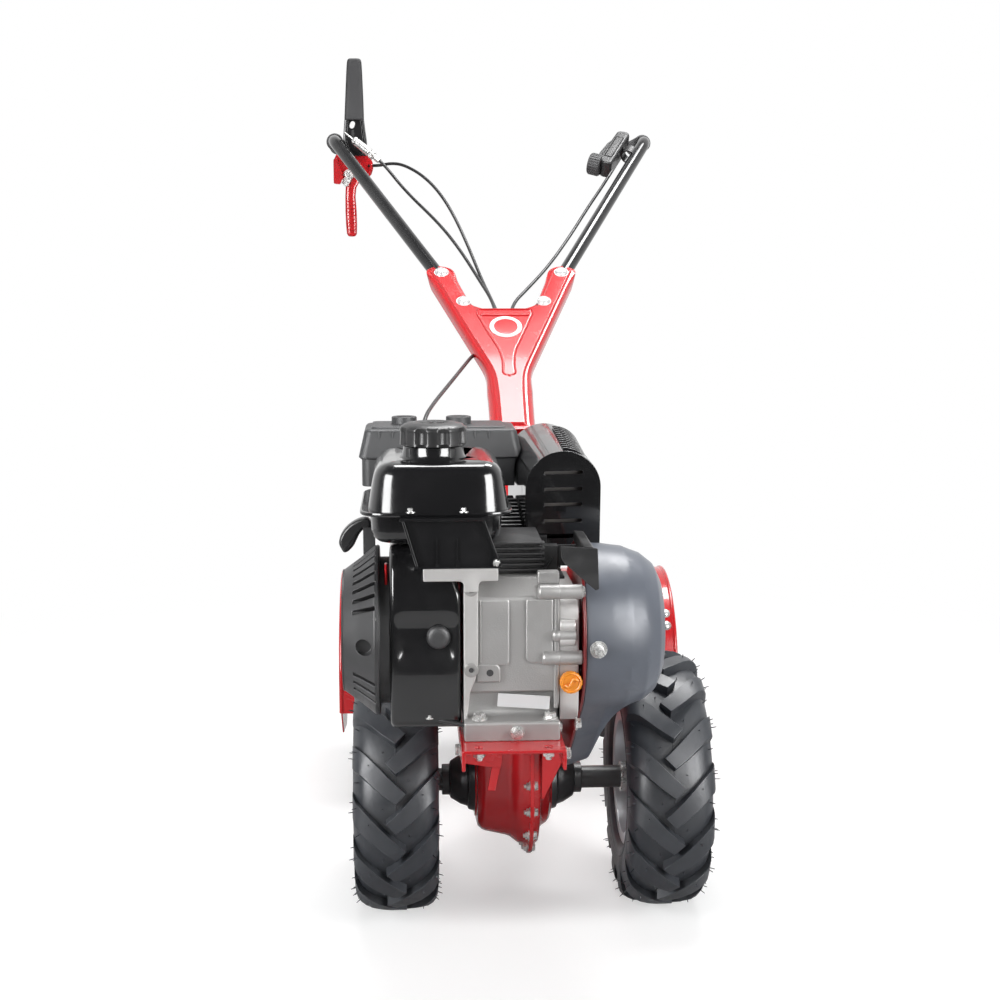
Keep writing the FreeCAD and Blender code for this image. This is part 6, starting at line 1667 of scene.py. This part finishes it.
    def reverse(self):
        """Red reverse lever: a boss, a ribbed grip and the link that it pulls."""
        low, high, middle = box_of("reverse_lever")
        tall = (high.z - low.z) / MM
        foot, head = Vector((middle.x, middle.y, low.z)), Vector((middle.x, middle.y, high.z))
        shape = round_corners([(-1, -1), (1, -1), (1, 1), (-1, 1)], 0.8, 6)
        rings = [[foot + mm(lean + at.x * half, at.y * deep - 3.0, up) for at in shape]
                 for up, lean, half, deep in (
                     (0, 1.0, 4.0, 3.0), (1.2, 1.0, 6.8, 5.2), (5, 1.0, 9.2, 6.6),
                     (20, 0.6, 10.2, 7.0), (46, 0.0, 10.4, 7.0), (72, -0.8, 9.4, 6.4),
                     (88, 0.5, 9.8, 5.4), (98, 3.0, 13.0, 4.6), (tall - 4, 4.0, 15.0, 4.0),
                     (tall, 4.0, 14.0, 3.0))]
        stands_for("reverse_lever", loft(rings), "red_enamel", angle=60)
        rib = soft_box(foot + mm(0.3, -10, 12), (15, 1.6, 1.8), 0.6)
        row_of("reverse_ribs", rib, "red_enamel", 9, mm(0, 0, 6.4), "handlebar")
        link = soft_box(head + mm(-4, -10.6, -8), (13, 3.4, 30), 1.4,
                        (Vector((0.9, 0, -0.43)), ALONG, Vector((0.43, 0, 0.9))))
        turned([(-3, 4.6), (4, 4.6), (4.8, 3.8)], head + mm(-8, -10, -20), -ALONG, 30, bm=link)
        put("reverse_link", link, "zinc", "handlebar")
        fasteners("reverse_pin", [(head + mm(1.5, -11, -1), -ALONG, 8.6)], "nut",
                  body="handlebar")

    def throttle(self):
        """Throttle control along its tube: rounded housing, slider, ribbed disc and screw."""
        splay, rise = math.radians(29.2), math.radians(36.5)
        along = Vector((math.sin(splay) * math.cos(math.radians(33.0)),
                        math.cos(rise) * 0.912, math.sin(rise) * 0.912)).normalized()
        inward = (-ACROSS + along * along.x).normalized()
        face = inward.cross(along)
        face = face if face.y < 0 else -face
        foot = spot("throttle_control", 33.8, 12.2, 15.2)

        def place(run, wide, out):
            """A point of the control: along the tube, inwards from it and off its face."""
            return foot + (along * run + inward * wide + face * out) * MM

        shell = plates(place, (
            [(-2, 2), (104, 2), (108, 12), (104, 26), (8, 29), (-4, 20)], [5, 5, 8, 8, 9, 8], 5,
            [(4.0, 17), (1.2, 15.6), (0, 12), (0, -12), (1.2, -15.6), (4.0, -17)]))
        pressed(round_corners([(14, 7), (84, 7), (84, 22), (14, 22)], 3, 4),
                [(0, 15), (0, 17.6), (1.0, 18.4), (2.0, 17.6), (3.0, 15)], place, shell, True)
        turned([(-9, 10.8), (-9, 13.4), (9, 13.4), (9, 10.8)], place(62, -11.6, 0), along, 40,
               closed=True, bm=shell)
        stands_for("throttle_control", shell, "dark_moulding", angle=40)
        slider = plates(place, (
            [(20, 28), (84, 25), (90, 27), (70, 33), (34, 36), (20, 34)], 3, 4,
            [(1.2, 9), (0, 7.6), (0, -7.6), (1.2, -9)]))
        put("throttle_slider", slider, "dark_moulding", "handlebar", angle=40)
        knob = place(6, 34, 0)
        disc = turned([(-11, 16.8), (-9.8, 18.4), (9.4, 18.4), (10.8, 17.0), (10.8, 9), (9.4, 8)],
                      knob, inward, 88)
        put("thumb_disc", disc, "grip_rubber", "handlebar", edge=0.6 * MM)
        rib = soft_box(mm(18.4), (1.8, 2.6, 17), 0.7)
        rib.transform(Matrix((*sides_of(inward), inward)).transposed().to_4x4())
        ring_of("thumb_ribs", rib, "grip_rubber", "handlebar", knob, 24, axis=inward)
        fasteners("throttle_screw", [(place(62, -25, 0), -inward, 4.6)], "nut",
                  body="handlebar")


class BuildCables(bpy.types.Operator):
    """The four control cables, each on one smooth line"""

    bl_idname = "tiller.cables"
    bl_label = "Cables"

    def execute(self, context):
        radius = 2.75
        deep = COLUMN_DEPTH - radius - 0.3
        under = ((0, 246), (1, 205), (1.5, 150), (1.5, 90), (0, 35), (-2, -16))
        # each from its control down to the column, then how far it follows the underside
        for node, side, last, route in (
                ("clutch_cable", -11, 6, (
                    (-199.6, 884.0, 1017.7), (-190, 879.5, 1009), (-153.7, 840, 962),
                    (-95.8, 765, 904), (-61.4, 705, 858), (-32.4, 635, 808), (-14, 575, 776))),
                ("reverse_cable", -6, 6, (
                    (-220, 924.1, 1011), (-212, 912, 1011), (-199.1, 905, 1011),
                    (-180, 898, 1014.5), (-157, 880, 1011), (-123.5, 850, 991),
                    (-94.4, 815, 960), (-70, 770, 918), (-46.8, 710, 862), (-28.6, 640, 809),
                    (-15, 578, 776))),
                ("throttle_cable", 10, 2, (
                    (212.3, 827.9, 998.7), (203.3, 811.8, 986.8), (191, 800, 969),
                    (162.8, 770, 932), (127.3, 720, 883), (84.9, 655, 832), (45, 595, 795),
                    (18, 556, 772)))):
            points = [self.placed(*point) for point in route]
            points += [on_column(side + x, reach, deep) for x, reach in under[:last]]
            stands_for(node, spline_mesh(points, radius, node, sides=4), "sheath", angle=60)
        node = "carburettor_cable"
        points = [on_column(*point) for point in (
            (10, 205, deep), (6, 190, deep), (-14, 180, deep + 4), (-36, 178, deep + 10))]
        points += [self.placed(*point) for point in (
            (-52, 430, 696.3), (-66.2, 375, 684.9), (-82.8, 300, 672.6), (-99.2, 230, 660.2),
            (-116.9, 160, 646.2), (-130.6, 100, 632), (-136, 58, 600), (-130, 24, 556),
            (-128, 4, 542))]
        put(node + "_finished", spline_mesh(points, radius, node, sides=4), "sheath",
            ("handlebar", "chassis", points[4], points[-3]), replaces=(node,), angle=60)
        return {"FINISHED"}

    def placed(self, across, along, up):
        """A point in millimetres from the ground under the axle, in the frame."""
        return mm(across, along, up) + ALONG * AXLE.y


# ------------------------------ stage

class BuildStage(bpy.types.Operator):
    """Lay the floor, light the studio and place the camera"""

    bl_idname = "tiller.stage"
    bl_label = "Studio"

    def execute(self, context):
        scene = context.scene
        stage = scene.tiller_stage
        disc = bmesh.new()
        bmesh.ops.create_circle(disc, cap_ends=True, segments=96, radius=1.9)
        floor = linked("floor", mesh_from(disc, "floor"))
        floor.data.materials.append(floor_finish())
        self.surround(scene, stage.surround)
        # lamps light the surfaces and panels show in gloss, so each has a plain level
        for name, place, power, size, aim in (
                ("left lamp", (-2.0, -1.5, 1.05), stage.key, (0.6, 1.5), (0, -0.4, 0.5)),
                ("right lamp", (2.0, -1.5, 1.05), stage.fill, (0.6, 1.5), (0, -0.4, 0.5)),
                ("top lamp", (0.1, -0.08, 2.45), stage.top, (1.3, 1.05), (0.1, -0.08, 0)),
                ("left panel", (-1.5, -2.05, 1.1), stage.panels * 1.3, (1.1, 1.5), (0, -0.5, 0.5)),
                ("right panel", (1.35, -2.15, 1.1), stage.panels * 1.3, (1.1, 1.5),
                 (0, -0.5, 0.5)),
                ("top panel", (-0.05, 0.06, 2.5), stage.panels * 0.42, (0.8, 0.82),
                 (-0.05, 0.06, 0)),
                ("rear panel", (0.8, 0.55, 2.5), stage.panels * 0.7, (0.8, 0.8), (0.8, 0.55, 0))):
            data = bpy.data.lights.new(name, "AREA")
            data.shape, data.size, data.size_y, data.energy = "RECTANGLE", *size, power
            lamp = linked(name, data)
            lamp.location = place
            lamp.rotation_euler = (Vector(aim) - Vector(place)).to_track_quat("-Z", "Y").to_euler()
            lamp.visible_glossy = name.endswith("panel")
            lamp.visible_diffuse = not lamp.visible_glossy
        view = bpy.data.cameras.new("camera")
        view.lens, view.sensor_width = 55.81, 36.0
        camera = linked("camera", view)
        camera.location = (-0.1502, AXLE.y - 1.9607, 0.8332)
        camera.rotation_euler = (math.radians(90 - 8.619), 0, math.radians(-3.3507))
        scene.camera = camera
        scene.view_settings.view_transform = "Standard"
        return {"FINISHED"}

    def surround(self, scene, strength):
        """Light all round: white to the eye, and for gloss a studio that is dark in front."""
        scene.world = bpy.data.worlds.new("studio")
        scene.world.use_nodes = True
        tree = scene.world.node_tree
        tree.nodes.clear()
        path = add(tree, "ShaderNodeLightPath")
        way = add(tree, "ShaderNodeTexCoord")
        parts = add(tree, "ShaderNodeSeparateXYZ", None, [(0, way, "Object")])
        behind = add(tree, "ShaderNodeMapRange", SMOOTH, [("Value", parts, "Y")],
                     From_Min=-0.35, From_Max=0.35, To_Min=0.07, To_Max=1.0)
        above = add(tree, "ShaderNodeMapRange", SMOOTH, [("Value", parts, "Z")],
                    From_Min=0.72, From_Max=0.94, To_Min=1.0, To_Max=0.35)
        gloss = add(tree, "ShaderNodeMath", {"operation": "MULTIPLY"}, [
            (0, behind, "Result"), (1, above, "Result")])
        clear = add(tree, "ShaderNodeMath", {"operation": "MAXIMUM"}, [
            (0, path, "Is Camera Ray"), (1, path, "Is Transmission Ray")])
        white = (1, 1, 1, 1)
        plain = add(tree, "ShaderNodeBackground", Color=white, Strength=strength)
        mirrored = add(tree, "ShaderNodeBackground", None, [("Strength", gloss, 0)], Color=white)
        backdrop = add(tree, "ShaderNodeBackground", Color=white, Strength=1.0)
        shiny = add(tree, "ShaderNodeMixShader", None, [
            (0, path, "Is Glossy Ray"), (1, plain, 0), (2, mirrored, 0)])
        both = add(tree, "ShaderNodeMixShader", None, [(0, clear, 0), (1, shiny, 0),
                                                       (2, backdrop, 0)])
        add(tree, "ShaderNodeOutputWorld", None, [("Surface", both, 0)])


def floor_finish():
    """Matt pale floor that keeps the shadow and fades to the white backdrop further out."""
    material = bpy.data.materials.new("studio floor")
    material.use_nodes = True
    tree = material.node_tree
    tree.nodes.clear()
    matt = add(tree, "ShaderNodeBsdfDiffuse", Color=(0.62, 0.62, 0.62, 1), Roughness=0.6)
    place = add(tree, "ShaderNodeTexCoord")
    reach = add(tree, "ShaderNodeVectorMath", {"operation": "LENGTH"}, [(0, place, "Object")])
    fade = add(tree, "ShaderNodeMapRange", {"interpolation_type": "SMOOTHERSTEP"}, [
        ("Value", reach, "Value")], From_Min=0.85, From_Max=1.8)
    path = add(tree, "ShaderNodeLightPath")
    seen = add(tree, "ShaderNodeMath", {"operation": "MULTIPLY"}, [(0, path, "Is Camera Ray")])
    seen.inputs[1].default_value = 0.46
    glow = add(tree, "ShaderNodeEmission", None, [("Strength", seen, 0)])
    both = add(tree, "ShaderNodeAddShader", None, [(0, matt, 0), (1, glow, 0)])
    white = add(tree, "ShaderNodeEmission", Strength=1.0)
    hidden = add(tree, "ShaderNodeMath", {"operation": "MULTIPLY"}, [
        (0, fade, "Result"), (1, path, "Is Camera Ray")])
    mixed = add(tree, "ShaderNodeMixShader", None, [(0, hidden, 0), (1, both, 0), (2, white, 0)])
    add(tree, "ShaderNodeOutputMaterial", None, [("Surface", mixed, 0)])
    return material


BUILDERS = (BuildStage, BuildCables, BuildTyres, BuildWheels, BuildGearCase, BuildCrankcase,
            BuildFanSide, BuildTank, BuildAirCleaner, BuildMuffler, BuildBeltDrive, BuildTiller,
            BuildColumn, BuildHandlebars)
SETTINGS = {"tiller_finish": TillerFinish, "tiller_edges": TillerEdges,
            "tiller_tyres": TillerTyres, "tiller_stage": TillerStage}


class TillerPanel(bpy.types.Panel):
    """Sidebar panel with the settings and the build steps"""

    bl_idname = "TILLER_PT_build"
    bl_label = "Garden tiller"
    bl_space_type = "VIEW_3D"
    bl_region_type = "UI"
    bl_category = "Tiller"

    def draw(self, context):
        """Lists the settings and the build steps."""
        for name in SETTINGS:
            settings = getattr(context.scene, name)
            box = self.layout.box()
            for key in settings.__annotations__:
                box.prop(settings, key)
        for step in BUILDERS:
            self.layout.operator(step.bl_idname)


def register():
    """Adds the settings, the build steps and the panel."""
    for name, settings in SETTINGS.items():
        bpy.utils.register_class(settings)
        setattr(bpy.types.Scene, name, bpy.props.PointerProperty(type=settings))
    for step in (*BUILDERS, TillerPanel):
        bpy.utils.register_class(step)


def unregister():
    """Takes the panel, the build steps and the settings away."""
    for step in (TillerPanel, *reversed(BUILDERS)):
        bpy.utils.unregister_class(step)
    for name, settings in SETTINGS.items():
        delattr(bpy.types.Scene, name)
        bpy.utils.unregister_class(settings)


def main():
    """Builds every piece in order."""
    register()
    for step in BUILDERS:
        group, action = step.bl_idname.split(".")
        getattr(getattr(bpy.ops, group), action)()


if __name__ == "__main__":
    main()
